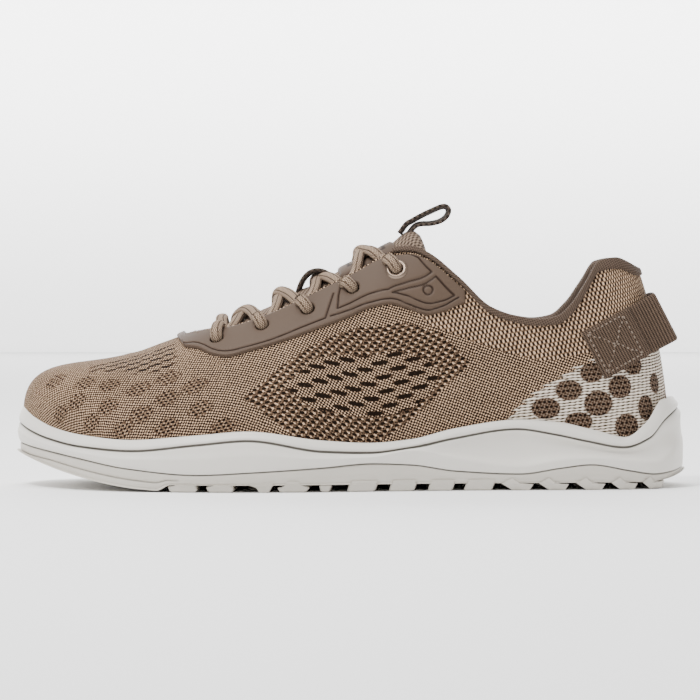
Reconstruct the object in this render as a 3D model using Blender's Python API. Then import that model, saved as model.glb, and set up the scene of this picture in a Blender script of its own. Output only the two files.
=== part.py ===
"""A low knitted barefoot shoe for the left foot, as an assembly of separate solids.

Axes: +Z up, the toe points along -X, and the outer (lateral) side faces -Y. The origin is
on the floor, in the middle of the sole's length and width. Lengths are in metres.

Everything is worked out from one closed outline of the sole and from one surface, the last:
vertical sections that stand round the outline and lean in to a ridge line. Tables give the
sections as shares of named sizes. "at" is always a share of the sole's length from the heel.
"""

import math

import bmesh
import bpy
import numpy as np
from mathutils import Vector
from mathutils.bvhtree import BVHTree

# Overall sizes of the sole
SOLE_LENGTH = 0.290
BALL_WIDTH = 0.108
RIM_HEIGHT = 0.0385
TOE_SPRING = 0.0142
HEEL_BEVEL = 0.0045
LUG_HEIGHT = 0.0030
OUTSOLE_THICKNESS = 0.0026
MIDSOLE_THICKNESS = 0.0024
OUTSOLE_WALL = 0.0024
LUG_INSET = 0.0002
LUG_TOP = 0.0052
EDGE_LUG_WIDTH = 0.0150

# Heights and walls of the upper
INSTEP_HEIGHT = 0.1220
COLLAR_HEIGHT = INSTEP_HEIGHT - 0.0240
UPPER_WALL = 0.0022
RIDGE_SHIFT = 0.0100
WALL_LEAN = 0.0060
INSOLE_THICKNESS = 0.0035

# Overlays, trims and cords
OVERLAY_THICKNESS = 0.0012
THROAT_MARGIN = 0.0012
CUFF_LIP = 0.0044
CUFF_START = 0.437
CUFF_RISE = 0.0018
CUFF_OUTSIDE = 0.0013
CUFF_PAD = 0.0045
PAD_DEPTH = 0.0340
TONGUE_SINK = 0.0030
TONGUE_PRESS = 0.0032
TONGUE_THIN = 0.0034
TONGUE_THICK = 0.0070
TONGUE_WING = 0.0110
TAB_THICKNESS = 0.0011
LACE_DIAMETER = 0.0044
EYELET_HOLE = 0.0056
RING_HOLE = 0.0076
RING_BORE = 0.0054
RING_FLANGE = 0.0094
RING_HEIGHT = 0.0009
WEBBING_WIDTH = 0.0225
WEBBING_THICKNESS = 0.0016
WEBBING_TILT = math.radians(27.5)
LOOP_TAPE_WIDTH = 0.0070
LOOP_TAPE_THICKNESS = 0.0015

# Clearances
GAP = 0.0003

HALF_LENGTH = SOLE_LENGTH / 2
TOE_POLE_AT = 0.830
HEEL_POLE_AT = 0.120
SPRING_START = 0.765
BEVEL_START = 0.060
BUMPER_START = 0.765
TOE_FALL = 0.30


class Table:
    """Rows of named columns, read between the rows along a smooth curve that never overshoots."""

    def __init__(self, columns, *rows):
        self.names = columns.split()
        self.rows = np.array(rows, float)

    def __call__(self, column, at):
        knots = self.rows[:, 0]
        values = self.rows[:, self.names.index(column)]
        step = np.diff(knots)
        rise = np.diff(values) / step
        slope = np.concatenate([rise[:1], rise[1:] * 0, rise[-1:]])
        turning = rise[:-1] * rise[1:] > 0
        mean = 2 * rise[:-1] * rise[1:] / np.where(turning, rise[:-1] + rise[1:], 1)
        slope[1:-1] = np.where(turning, mean, 0)
        at = np.clip(at, knots[0], knots[-1])
        i = np.clip(np.searchsorted(knots, at, side="right") - 1, 0, len(step) - 1)
        f = (at - knots[i]) / step[i]
        start = (1 + 2 * f) * (1 - f) ** 2 * values[i] + f * (1 - f) ** 2 * step[i] * slope[i]
        end = f * f * (3 - 2 * f) * values[i + 1] - f * f * (1 - f) * step[i] * slope[i + 1]
        return start + end


# Half widths of the sole as shares of half the ball width, at even angles round the outline:
# angle 0 is the back of the heel, 180 the tip of the toe, which lies towards the big toe.
OUTLINE = Table(
    "angle lateral medial",
    (0, -0.06, 0.06),
    (15, 0.31, 0.41),
    (30, 0.54, 0.64),
    (45, 0.64, 0.73),
    (60, 0.68, 0.71),
    (75, 0.75, 0.66),
    (90, 0.89, 0.69),
    (105, 0.99, 0.87),
    (120, 0.96, 1.00),
    (135, 0.78, 0.945),
    (150, 0.48, 0.77),
    (165, 0.14, 0.52),
    (180, -0.18, 0.18),
)

# Lines moulded round the side of the sole, as shares of RIM_HEIGHT
SOLE_LINES = Table(
    "at rim groove foxing",
    (0.000, 1.000, 0.890, 0.230),
    (0.024, 0.975, 0.760, 0.185),
    (0.048, 0.740, 0.560, 0.165),
    (0.086, 0.560, 0.462, 0.205),
    (0.145, 0.660, 0.535, 0.276),
    (0.190, 0.735, 0.605, 0.240),
    (0.250, 0.768, 0.668, 0.178),
    (0.345, 0.675, 0.570, 0.215),
    (0.410, 0.560, 0.472, 0.286),
    (0.470, 0.523, 0.422, 0.303),
    (0.540, 0.553, 0.440, 0.262),
    (0.650, 0.652, 0.560, 0.212),
    (0.725, 0.608, 0.512, 0.187),
    (0.825, 0.553, 0.442, 0.246),
    (0.900, 0.600, 0.478, 0.345),
    (0.950, 0.680, 0.552, 0.412),
    (0.978, 0.780, 0.625, 0.448),
    (1.000, 0.910, 0.712, 0.484),
)

# How far the wall of the sole steps in from its outline at its rim, its groove and the scoop
# under the groove, and how far in the upper stands, all in shares of SCOOP
SCOOP = 0.0036
WALL_INSETS = Table(
    "at rim groove scoop upper",
    (0.000, 1.00, 0.60, 0.25, 1.68),
    (0.060, 0.98, 0.78, 0.80, 1.75),
    (0.200, 0.90, 0.82, 1.00, 1.85),
    (0.330, 0.80, 0.68, 0.70, 1.80),
    (0.400, 0.72, 0.45, 0.15, 1.72),
    (0.700, 0.64, 0.30, 0.06, 1.62),
    (0.900, 0.58, 0.16, 0.10, 1.35),
    (1.000, 0.52, 0.06, 0.12, 1.02),
)

# Ridge of the last from the heel to the toe: height as a share of INSTEP_HEIGHT, and how far
# it lies off the middle, towards the big toe, as a share of RIDGE_SHIFT
RIDGE = Table(
    "at height shift",
    (0.000, 1.000, 0.30),
    (0.290, 1.000, 0.30),
    (0.362, 0.975, 0.32),
    (0.431, 0.914, 0.36),
    (0.531, 0.795, 0.44),
    (0.628, 0.660, 0.55),
    (0.683, 0.602, 0.65),
    (0.740, 0.546, 0.75),
    (0.785, 0.506, 0.86),
    (0.830, 0.471, 1.00),
    (1.000, 0.440, 1.00),
)

# How full each section is: the height that its side wall keeps straight, as a share of the
# section's height, the width that its crown keeps flat, as a share of the half width, and its
# outward lean, as a share of WALL_LEAN
FORM = Table(
    "at wall crown lean",
    (0.000, 0.535, 0.20, 0.10),
    (0.120, 0.56, 0.30, 0.40),
    (0.250, 0.53, 0.52, 0.70),
    (0.400, 0.48, 0.50, 0.90),
    (0.500, 0.42, 0.46, 1.00),
    (0.620, 0.38, 0.48, 1.00),
    (0.740, 0.45, 0.55, 1.00),
    (0.830, 0.56, 0.62, 1.00),
    (0.930, 0.86, 0.60, 1.25),
    (1.000, 1.10, 0.55, 1.50),
)

# The upper's top edge from the back of the heel over the ankle and along the throat, as
# shares of COLLAR_HEIGHT. The throat closes where this line meets the ridge.
TOP_LINE = Table(
    "at height",
    (0.000, 0.930),
    (0.070, 0.958),
    (0.105, 0.998),
    (0.130, 0.984),
    (0.150, 0.896),
    (0.172, 0.800),
    (0.195, 0.742),
    (0.222, 0.729),
    (0.255, 0.743),
    (0.293, 0.784),
    (0.338, 0.909),
    (0.386, 1.024),
    (0.407, 1.048),
    (0.427, 1.046),
    (0.445, 1.028),
    (0.483, 0.964),
    (0.541, 0.876),
    (0.596, 0.796),
    (0.650, 0.732),
    (0.683, 0.706),
    (0.718, 0.692),
    (0.747, 0.674),
)

# Lower edge of the moulded eyestay, as shares of COLLAR_HEIGHT
EYESTAY_EDGE = Table(
    "at height",
    (0.330, 0.812),
    (0.345, 0.794),
    (0.362, 0.772),
    (0.386, 0.758),
    (0.416, 0.784),
    (0.441, 0.803),
    (0.469, 0.788),
    (0.503, 0.745),
    (0.541, 0.703),
    (0.600, 0.640),
    (0.645, 0.601),
    (0.683, 0.574),
    (0.700, 0.580),
    (0.728, 0.609),
    (0.748, 0.614),
    (0.760, 0.640),
)

# Depth of the padded collar inside, as shares of PAD_DEPTH
CUFF_DEPTH = Table(
    "at depth",
    (0.000, 1.00),
    (0.170, 0.92),
    (0.280, 0.70),
    (0.340, 0.35),
    (0.380, 0.12),
    (0.450, 0.09),
)

# Eyelet centres on each side: place along the sole, and height as a share of COLLAR_HEIGHT
EYELETS = (
    (0.6966, 0.656),
    (0.6293, 0.714),
    (0.5624, 0.786),
    (0.4966, 0.878),
    (0.4320, 0.967),
)

# Where the two strands that leave one pair of eyelets come out under the throat's edge, and
# where they cross over the ridge
CROSSINGS = (
    (0.6756, 0.6650),
    (0.6138, 0.6070),
    (0.5574, 0.5540),
    (0.4936, 0.4850),
)

# Front and back of each tread lug that reaches the side of the sole
LUG_ROWS = (
    (0.046, 0.062),
    (0.078, 0.110),
    (0.128, 0.160),
    (0.180, 0.214),
    (0.234, 0.268),
    (0.294, 0.333),
    (0.350, 0.386),
    (0.405, 0.443),
    (0.462, 0.503),
    (0.531, 0.541),
    (0.563, 0.603),
    (0.617, 0.634),
    (0.668, 0.705),
    (0.721, 0.762),
)
TOE_LUG_ROWS = ((0.790, 0.826), (0.850, 0.884), (0.905, 0.935))

COLOURS = {
    "knit": ((0.300, 0.218, 0.165), 0.90),
    "overlay": ((0.205, 0.153, 0.119), 0.55),
    "binding": ((0.150, 0.118, 0.100), 0.90),
    "lace": ((0.440, 0.350, 0.270), 0.85),
    "webbing": ((0.140, 0.108, 0.088), 0.85),
    "rubber": ((0.640, 0.625, 0.590), 0.55),
    "tread": ((0.560, 0.545, 0.510), 0.65),
    "footbed": ((0.180, 0.150, 0.130), 0.95),
    "metal": ((0.330, 0.270, 0.220), 0.35),
}


def at_of(x):
    """Share of the sole's length from the heel at x."""
    return (HALF_LENGTH - x) / SOLE_LENGTH


def x_of(at):
    return HALF_LENGTH - at * SOLE_LENGTH


def outline_series():
    """The outline's side distances as a closed wave, from the table's even angles."""
    medial = OUTLINE.rows[:, 2]
    lateral = -OUTLINE.rows[:, 1]
    ring = np.concatenate([medial, lateral[-2:0:-1]])
    return np.fft.rfft(ring) / len(ring)


SERIES = outline_series()
FULL_TURN = np.linspace(0, 2 * np.pi, 720, endpoint=False)


def wave(angle, turned=False):
    """Value of the outline's wave at an angle, or its slope there."""
    k = np.arange(1, len(SERIES) - 2)
    turn = np.exp(1j * np.multiply.outer(angle, k))
    terms = turn * SERIES[k] * (1j * k if turned else 1)
    return 2 * terms.real.sum(-1) + (0 if turned else SERIES[0].real)


WAVE_LOW, WAVE_HIGH = wave(FULL_TURN).min(), wave(FULL_TURN).max()


def plan(angle, inset):
    """(x, y) of the sole's outline at an angle, moved in by inset. Angles below zero are lateral."""
    scale = BALL_WIDTH / (WAVE_HIGH - WAVE_LOW)
    y = (wave(angle) - (WAVE_HIGH + WAVE_LOW) / 2) * scale
    slope_x, slope_y = -HALF_LENGTH * np.sin(angle), wave(angle, turned=True) * scale
    out_y = -slope_x / np.hypot(slope_x, slope_y)
    return (HALF_LENGTH - inset) * np.cos(angle), y - inset * out_y


def upper_inset(angle):
    """How far the upper's foot stands in from the sole's outline."""
    return SCOOP * WALL_INSETS("upper", (1 - np.cos(angle)) / 2)


def base(at):
    """Height of the tread's lowest surface: flat, with toe spring and a bevelled heel."""
    toe = np.clip((at - SPRING_START) / (1 - SPRING_START), 0, 1) ** 1.8
    heel = np.clip((BEVEL_START - at) / BEVEL_START, 0, 1) ** 2
    return TOE_SPRING * toe + HEEL_BEVEL * heel


def ease(at, start, end):
    f = np.clip((at - start) / (end - start), 0, 1)
    return f * f * (3 - 2 * f)


def sole_levels(at):
    """Heights of the sole's layers: underside between lugs, outsole top and footbed."""
    low = base(at)
    bumper = ease(at, BUMPER_START, BUMPER_START + 0.02)
    under = low + LUG_HEIGHT * (1 - 0.85 * bumper)
    top = low + LUG_HEIGHT + OUTSOLE_THICKNESS - LUG_HEIGHT * ease(at, BUMPER_START, 1)
    return under, top, top + GAP + MIDSOLE_THICKNESS


def spine(x):
    """The line under the ridge that every section leans to, and its height."""
    x = np.clip(x, x_of(TOE_POLE_AT), x_of(HEEL_POLE_AT))
    at = at_of(x)
    return x, RIDGE_SHIFT * RIDGE("shift", at), INSTEP_HEIGHT * RIDGE("height", at)


def last(angle, t):
    """Points of the last. t runs up each section, from 0 at the footbed to 1 on the ridge."""
    angle, t = np.broadcast_arrays(np.asarray(angle, float), np.asarray(t, float))
    x0, y0 = plan(angle, upper_inset(angle))
    at = at_of(x0)
    z0 = sole_levels(at)[2] + GAP
    x3, y3, z3 = spine(x0)
    fall = np.where(at > TOE_POLE_AT, TOE_FALL, 0)
    reach = np.maximum(np.hypot(x3 - x0, y3 - y0), 1e-9)
    dx, dy = (x3 - x0) / reach, (y3 - y0) / reach
    lean = WALL_LEAN * FORM("lean", at)
    flat = FORM("crown", at) * reach
    bend = (
        (x0, y0, z0),
        (x0 - dx * lean, y0 - dy * lean, z0 + FORM("wall", at) * (z3 - z0)),
        (x3 - dx * flat, y3 - dy * flat, z3 - fall * dx * flat),
        (x3, y3, z3),
    )
    weights = ((1 - t) ** 3, 3 * t * (1 - t) ** 2, 3 * t * t * (1 - t), t**3)
    return np.stack([sum(w * p[i] for w, p in zip(weights, bend)) for i in range(3)], -1)


def unit(v):
    return v / np.maximum(np.linalg.norm(v, axis=-1, keepdims=True), 1e-12)


def normal(angle, t):
    """Outward normal of the last. On the ridge both sides share one."""
    angle, t = np.broadcast_arrays(np.asarray(angle, float), np.asarray(t, float))
    up = last(angle, np.clip(t + 1e-3, 0, 1)) - last(angle, np.clip(t - 1e-3, 0, 1))
    round_ = last(angle + 1e-3, np.minimum(t, 0.995)) - last(angle - 1e-3, np.minimum(t, 0.995))
    out = unit(np.cross(round_, up))
    x, y, z = spine(last(angle, t)[..., 0])
    ahead = np.stack(spine(x + 1e-3), -1) - np.stack(spine(x - 1e-3), -1)
    crown = unit(np.cross(ahead, np.broadcast_to([0.0, 1.0, 0.0], ahead.shape)))
    return np.where((t > 0.9995)[..., None], crown, out)


def raised(angle, t, lift):
    """Points of the last, moved out along its normal by lift, or in where lift is below zero."""
    return last(angle, t) + normal(angle, t) * np.asarray(lift)[..., None]


def t_at_height(angle, height_at):
    """t where each section first reaches a side-view line height_at(at), or 1 where it never does."""
    t = np.linspace(0, 1, 400)
    found = []
    for one in np.atleast_1d(angle):
        points = last(one, t)
        over = points[:, 2] - height_at(at_of(points[:, 0]))
        hit = np.flatnonzero(over >= 0)
        if not len(hit):
            found.append(1.0)
        elif hit[0] == 0:
            found.append(0.0)
        else:
            i = hit[0]
            found.append(t[i - 1] + (t[i] - t[i - 1]) * -over[i - 1] / (over[i] - over[i - 1]))
    return np.array(found)


def top_height(at):
    """Height of the upper's top edge. In front of the throat there is none."""
    line = COLLAR_HEIGHT * TOP_LINE("height", at)
    return np.where(at > TOP_LINE.rows[-1, 0], 1.0, line)


def down_from(angle, t_start, depth):
    """t of the point that lies depth below t_start, measured along the section."""
    t = np.linspace(t_start, 0, 200)
    points = last(np.full(t.shape, angle), t)
    run = np.concatenate([[0], np.cumsum(np.linalg.norm(np.diff(points, axis=0), axis=1))])
    return np.interp(depth, run, t)


def angle_at(at, side):
    """Angle of the section that stands at a share of the length, on side -1 or 1."""
    angle = np.arccos(np.clip(1 - 2 * np.asarray(at, float), -1, 1))
    for _ in range(3):
        x = x_of(np.asarray(at, float)) / (HALF_LENGTH - upper_inset(angle))
        angle = np.arccos(np.clip(x, -1, 1))
    return side * angle


# Meshes


def material(slot):
    found = bpy.data.materials.get(slot)
    if found:
        return found
    made = bpy.data.materials.new(slot)
    made.use_nodes = True
    shader = made.node_tree.nodes["Principled BSDF"]
    colour, roughness = COLOURS[slot]
    shader.inputs["Base Color"].default_value = (*colour, 1)
    shader.inputs["Roughness"].default_value = roughness
    shader.inputs["Metallic"].default_value = 0.6 if slot == "metal" else 0
    made.diffuse_color = (*colour, 1)
    return made


def make(name, points, faces, slot, hidden=False):
    """An object from points and faces, with its faces turned outwards."""
    mesh = bpy.data.meshes.new(name)
    mesh.from_pydata([tuple(p) for p in points], [], faces)
    work = bmesh.new()
    work.from_mesh(mesh)
    bmesh.ops.remove_doubles(work, verts=work.verts, dist=1e-6)
    bmesh.ops.triangulate(work, faces=work.faces, quad_method="SHORT_EDGE")
    bmesh.ops.recalc_face_normals(work, faces=work.faces)
    work.to_mesh(mesh)
    work.free()
    mesh.shade_smooth()
    mesh.set_sharp_from_angle(angle=math.radians(50))
    mesh.materials.append(material(slot))
    made = bpy.data.objects.new(name, mesh)
    bpy.context.scene.collection.objects.link(made)
    made.parent = SHOE
    if hidden:
        made.hide_render = True
        made.display_type = "WIRE"
    return made


def quads(rows, columns, wrap_rows=False, wrap_columns=False):
    """Faces of a grid of points, numbered row by row."""
    faces = []
    for i in range(rows if wrap_rows else rows - 1):
        for j in range(columns if wrap_columns else columns - 1):
            i2, j2 = (i + 1) % rows, (j + 1) % columns
            faces.append((i * columns + j, i2 * columns + j, i2 * columns + j2, i * columns + j2))
    return faces


def shell(name, outer, inner, slot, wrap=False):
    """A wall between two grids of the same layout, closed along every open edge."""
    rows, columns = outer.shape[:2]
    keys, points, inside, index = {}, [], [], []
    for p, q in zip(outer.reshape(-1, 3), inner.reshape(-1, 3)):
        key = tuple(np.round(p, 6))
        if key not in keys:
            keys[key] = len(points)
            points.append(p)
            inside.append(q)
        index.append(keys[key])
    faces, edges = [], {}
    for face in quads(rows, columns, wrap_rows=wrap):
        ring = [index[k] for k in face]
        ring = [k for n, k in enumerate(ring) if k != ring[n - 1]]
        if len(ring) < 3:
            continue
        faces.append(ring)
        for a, b in zip(ring, ring[1:] + ring[:1]):
            edges[frozenset((a, b))] = None if frozenset((a, b)) in edges else (a, b)
    count = len(points)
    faces += [[k + count for k in reversed(face)] for face in faces]
    faces += [[b, a, a + count, b + count] for a, b in filter(None, edges.values())]
    return make(name, points + inside, faces, slot)


def sweep(name, rings, slot, hidden=False):
    """A solid through a row of rings, with flat caps."""
    rows, columns = rings.shape[:2]
    faces = quads(rows, columns, wrap_columns=True)
    faces.append(tuple(range(columns)))
    faces.append(tuple(range((rows - 1) * columns, rows * columns)))
    return make(name, rings.reshape(-1, 3), faces, slot, hidden)


def ring_solid(name, grid, slot):
    """A closed solid whose sections stand round the outline. Both ends lie on the spine."""
    rows, columns = grid.shape[:2]
    return make(name, grid.reshape(-1, 3), quads(rows, columns, wrap_rows=True), slot)


def curve_through(points, count):
    """Even points on a smooth curve through a few chosen ones."""
    points = np.asarray(points, float)
    run = np.concatenate([[0], np.cumsum(np.linalg.norm(np.diff(points, axis=0), axis=1))])
    ends = np.vstack([2 * points[0] - points[1], points, 2 * points[-1] - points[-2]])
    made = []
    for s in np.linspace(0, run[-1], count):
        i = min(int(np.searchsorted(run, s, side="right")) - 1, len(points) - 2)
        f = (s - run[i]) / (run[i + 1] - run[i])
        a, b, c, d = ends[i : i + 4]
        bent = 2 * b + (c - a) * f + (2 * a - 5 * b + 4 * c - d) * f * f
        made.append((bent + (3 * b - a - 3 * c + d) * f**3) / 2)
    return np.array(made)


def tape(name, path, width_axis, width, thickness, slot):
    """A flat tape along a path, as wide as width along width_axis."""
    ahead = unit(np.gradient(path, axis=0))
    across = np.broadcast_to(unit(np.asarray(width_axis, float)), path.shape)
    over = unit(np.cross(ahead, across))
    corners = ((-1, -1), (1, -1), (1, 1), (-1, 1))
    rings = np.stack(
        [path + a * width / 2 * across + b * thickness / 2 * over for a, b in corners], 1
    )
    return sweep(name, rings, slot)


def join(target, tool, operation):
    made = target.modifiers.new(operation.lower(), "BOOLEAN")
    made.operation = operation
    made.object = tool
    made.solver = "EXACT"


# Sole


def section_angles():
    """Angles of the sections, closer together at the ankle and round the throat's front end."""
    collar = math.degrees(float(angle_at(CUFF_START, 1)))
    front = math.degrees(float(angle_at(TOP_LINE.rows[-1, 0], 1)))
    half = [0.0]
    for start, end, count in (
        (0, 30, 4),
        (30, 64, 6),
        (64, collar, 4),
        (collar, front - 5, 5),
        (front - 5, front + 5, 4),
        (front + 5, 180, 7),
    ):
        half.extend(np.linspace(start, end, count + 1)[1:])
    half = np.array(half)
    return np.radians(np.concatenate([half, -half[-2:0:-1]]))


def edge_points(angle, inset, height):
    return np.stack([*plan(angle, inset), height], -1)


def floor_points(angle, level, lift=0.0):
    """A level of the sole halfway in from the upper's foot, and on the line below the ridge."""
    x, y = plan(angle, upper_inset(angle))
    sx, sy, _ = spine(x)
    middle = np.stack([(x + sx) / 2, (y + sy) / 2], -1)
    made = []
    for place in (middle, np.stack([sx, sy], -1)):
        height = sole_levels(at_of(place[:, 0]))[level] + lift
        made.append(np.column_stack([place, height]))
    return made


def slide(edge, inner, distance, lift=0.0):
    """Points a distance in from edge along the straight lines to inner, raised by lift."""
    return edge + unit(inner - edge) * distance + np.array([0.0, 0.0, lift])


def lugs():
    """Tread lugs as one loose set of prisms: side lugs that stand out of the wall, middle ones."""
    points, faces = [], []

    def prism(corners, height):
        start, n = len(points), len(corners)
        low = [(x, y, float(base(at_of(x)))) for x, y in corners]
        points.extend(low)
        points.extend([(x, y * 0.99, z + height(at_of(x))) for x, y, z in low])
        faces.append(tuple(range(start, start + n)))
        faces.append(tuple(range(start + n, start + 2 * n)))
        for k in range(n):
            k2 = (k + 1) % n
            faces.append((start + k, start + k2, start + n + k2, start + n + k))

    for front, back in LUG_ROWS:
        for side in (-1, 1):
            around = side * np.arccos(1 - 2 * np.linspace(front, back, 2))
            x, y = plan(around, LUG_INSET)
            xs = [*x, x[-1] + 0.002, x[0] + 0.002]
            ys = [*y, y[-1] - side * EDGE_LUG_WIDTH, y[0] - side * EDGE_LUG_WIDTH]
            prism(list(zip(xs, ys)), lambda at: LUG_TOP)
    for front, back in LUG_ROWS + TOE_LUG_ROWS:
        if back - front < 0.02:
            continue
        around = np.arccos(1 - 2 * (front + back) / 2)
        reach = EDGE_LUG_WIDTH + 0.0035
        low, high = plan(-around, reach)[1], plan(around, reach)[1]
        x0, x1 = x_of(front), x_of(back)
        corners = ((x0, low), (x0 + 0.003, high), (x1 + 0.003, high), (x1, low))
        prism(corners, lambda at: float(sole_levels(at)[0] - base(at)) + 0.0008)
    return make("tread_lugs", points, faces, "tread", hidden=True)


def tray(angles):
    """Corner of the outsole's tray, where its wall meets its floor, and the foxing line."""
    at = at_of(plan(angles, 0)[0])
    foxing = RIM_HEIGHT * SOLE_LINES("foxing", at)
    top = np.minimum(sole_levels(at)[1], foxing - 2 * GAP)
    return edge_points(angles, OUTSOLE_WALL + 2 * GAP, top), foxing


def outsole(angles):
    """Ground rubber: a shallow tray with a low wall up to the foxing line, and its lugs."""
    at = at_of(plan(angles, 0)[0])
    under = sole_levels(at)[0]
    corner, foxing = tray(angles)
    wall = foxing - under
    tuck = SCOOP * WALL_INSETS("scoop", at) * ease(at, 0.85, 1) + GAP
    bend = 0.2 + 0.8 * ease(at, 0, 0.08) * (1 - ease(at, BUMPER_START, BUMPER_START + 0.06))
    columns = [
        *floor_points(angles, 0)[::-1],
        edge_points(angles, tuck + 0.0050 * bend, under),
        edge_points(angles, tuck + 0.0018 * bend, under + 0.12 * wall),
        edge_points(angles, tuck + 0.0006, under + 0.45 * wall),
        edge_points(angles, tuck, foxing),
        edge_points(angles, OUTSOLE_WALL, foxing),
        corner,
        *floor_points(angles, 1),
    ]
    made = ring_solid("outsole", np.stack(columns, 1), "tread")
    join(made, lugs(), "UNION")
    return made


def bed_edge(angles):
    """Corner of the footbed inside the midsole."""
    return last(angles, 0) - np.array([0.0, 0.0, GAP])


def midsole(angles):
    """Cup that holds the upper: scooped side, groove and rim outside, the last's shape inside."""
    at = at_of(plan(angles, 0)[0])
    corner, foxing = tray(angles)
    groove, rim = (RIM_HEIGHT * SOLE_LINES(c, at) for c in ("groove", "rim"))
    rim_in, groove_in, scoop = (SCOOP * WALL_INSETS(c, at) for c in ("rim", "groove", "scoop"))
    tuck = scoop * ease(at, 0.85, 1)
    under = floor_points(angles, 1, 1.5 * GAP)
    wall = groove - foxing
    columns = [
        *under[::-1],
        slide(corner, under[0], GAP, 1.5 * GAP),
        edge_points(angles, OUTSOLE_WALL + 2 * GAP, foxing + GAP),
        edge_points(angles, tuck + GAP, foxing + GAP),
        edge_points(angles, tuck * 0.3, foxing + 0.32 * wall),
        edge_points(angles, (scoop - tuck) * 0.75, foxing + 0.62 * wall),
        edge_points(angles, np.maximum(scoop - tuck, groove_in), foxing + 0.88 * wall),
        edge_points(angles, groove_in + 0.0008, groove),
        edge_points(angles, groove_in, groove + 0.0006),
        edge_points(angles, rim_in, rim - 0.0008),
        edge_points(angles, rim_in + 0.0006, rim),
        raised(angles, t_at_height(angles, rim_height), GAP),
        edge_points(angles, upper_inset(angles) - GAP, bed_edge(angles)[:, 2]),
        *floor_points(angles, 2),
    ]
    return ring_solid("midsole", np.stack(columns, 1), "rubber")


def insole(angles):
    """Loose foam footbed inside the upper."""
    edge = bed_edge(angles)
    middle, line = floor_points(angles, 2)
    side = UPPER_WALL + 4 * GAP
    columns = [
        line + (0, 0, GAP),
        middle + (0, 0, GAP),
        slide(edge, middle, side, GAP),
        slide(edge, middle, side, GAP + 0.8 * INSOLE_THICKNESS),
        slide(edge, middle, side + 0.0015, GAP + 1.15 * INSOLE_THICKNESS),
        line + (0, 0, GAP + INSOLE_THICKNESS),
    ]
    return ring_solid("insole", np.stack(columns, 1), "footbed")


# Upper


UPPER_ROWS = np.array([0.0, 0.20, 0.40, 0.60, 0.79, 0.91, 1.0])


def rim_height(at):
    return RIM_HEIGHT * SOLE_LINES("rim", at)


def wall_rows(angles):
    """Rows of the upper's wall for each section: its foot, the sole's rim, and on to the top."""
    rim = t_at_height(angles, rim_height)[:, None]
    top = t_at_height(angles, top_height)[:, None]
    return np.concatenate([0 * rim, rim + (top - rim) * UPPER_ROWS], 1)


def upper(angles):
    """The knitted upper as one hollow wall, open below, along the throat and at the collar."""
    t = wall_rows(angles)
    around = np.broadcast_to(angles[:, None], t.shape)
    outer = last(around, t)
    inner = raised(around, t, np.full(t.shape, -UPPER_WALL))
    return shell("upper", outer, inner, "knit", wrap=True)


def wall_line(angle, inside):
    """One section of the upper's wall from its top edge down: points and outward directions."""
    t = wall_rows(np.array([angle]))[0, ::-1]
    around = np.full(t.shape, angle)
    points = raised(around, t, np.full(t.shape, -UPPER_WALL if inside else 0.0))
    return points, normal(around, t)


def along_line(line, run, at, lift):
    """Point of a wall line where run reaches at, moved out by lift."""
    points, out = line
    point = np.array([np.interp(at, run, points[:, i]) for i in range(3)])
    return point + lift * unit(np.array([np.interp(at, run, out[:, i]) for i in range(3)]))


def wall_point(angle, depth, lift, inside):
    """Point on a face of the upper's wall, depth below its top edge, moved out by lift."""
    line = wall_line(angle, inside)
    steps = np.linalg.norm(np.diff(line[0], axis=0), axis=1)
    return along_line(line, np.concatenate([[0], np.cumsum(steps)]), depth, lift)


def surface_of(*objects):
    """Search tree of the faces of several objects."""
    points, faces = [], []
    for made in objects:
        start = len(points)
        points.extend(v.co for v in made.data.vertices)
        faces.extend([start + k for k in f.vertices] for f in made.data.polygons)
    return BVHTree.FromPolygons(points, faces)


def seated(surface, point, out, lift, reach=0.003):
    """The point moved along out until it stands lift above the surface near it."""
    hit = surface.ray_cast(Vector(point + out * 0.012), Vector(-out), 0.012 + reach)[0]
    return (point if hit is None else np.array(hit)) + out * lift


def eyelet_place(number, side):
    """Angle, t, centre and outward direction of an eyelet, level across the throat."""
    at, height = EYELETS[number]
    outer = float(angle_at(at, -1))
    t = float(t_at_height(outer, lambda a: np.full(np.shape(a), COLLAR_HEIGHT * height))[0])
    angle = outer
    if side > 0:
        top = float(t_at_height(outer, top_height)[0])
        path = last(np.full(50, outer), np.linspace(t, top, 50))
        depth = np.linalg.norm(np.diff(path, axis=0), axis=1).sum()
        angle = -outer
        t = float(down_from(angle, float(t_at_height(angle, top_height)[0]), depth))
    return angle, t, last(angle, t), normal(angle, t)


def eyelet_cutters():
    """Ten short rods through the eyelets, which the upper and the eyestay are cut with."""
    points, faces = [], []
    sides = 8
    for number in range(len(EYELETS)):
        for side in (-1, 1):
            _, _, centre, out = eyelet_place(number, side)
            across = unit(np.cross(out, (0.0, 0.3, 1.0)))
            over = np.cross(out, across)
            turn = np.linspace(0, 2 * np.pi, sides, endpoint=False)[:, None]
            hole = RING_HOLE if number == len(EYELETS) - 1 else EYELET_HOLE
            circle = hole / 2 * (np.cos(turn) * across + np.sin(turn) * over)
            start = len(points)
            points.extend(centre + out * 0.006 + circle)
            points.extend(centre - out * 0.006 + circle)
            faces.append(tuple(range(start, start + sides)))
            faces.append(tuple(range(start + sides, start + 2 * sides)))
            for k in range(sides):
                k2 = (k + 1) % sides
                faces.append((start + k, start + k2, start + sides + k2, start + sides + k))
    return make("eyelet_cutters", points, faces, "metal", hidden=True)


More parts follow.
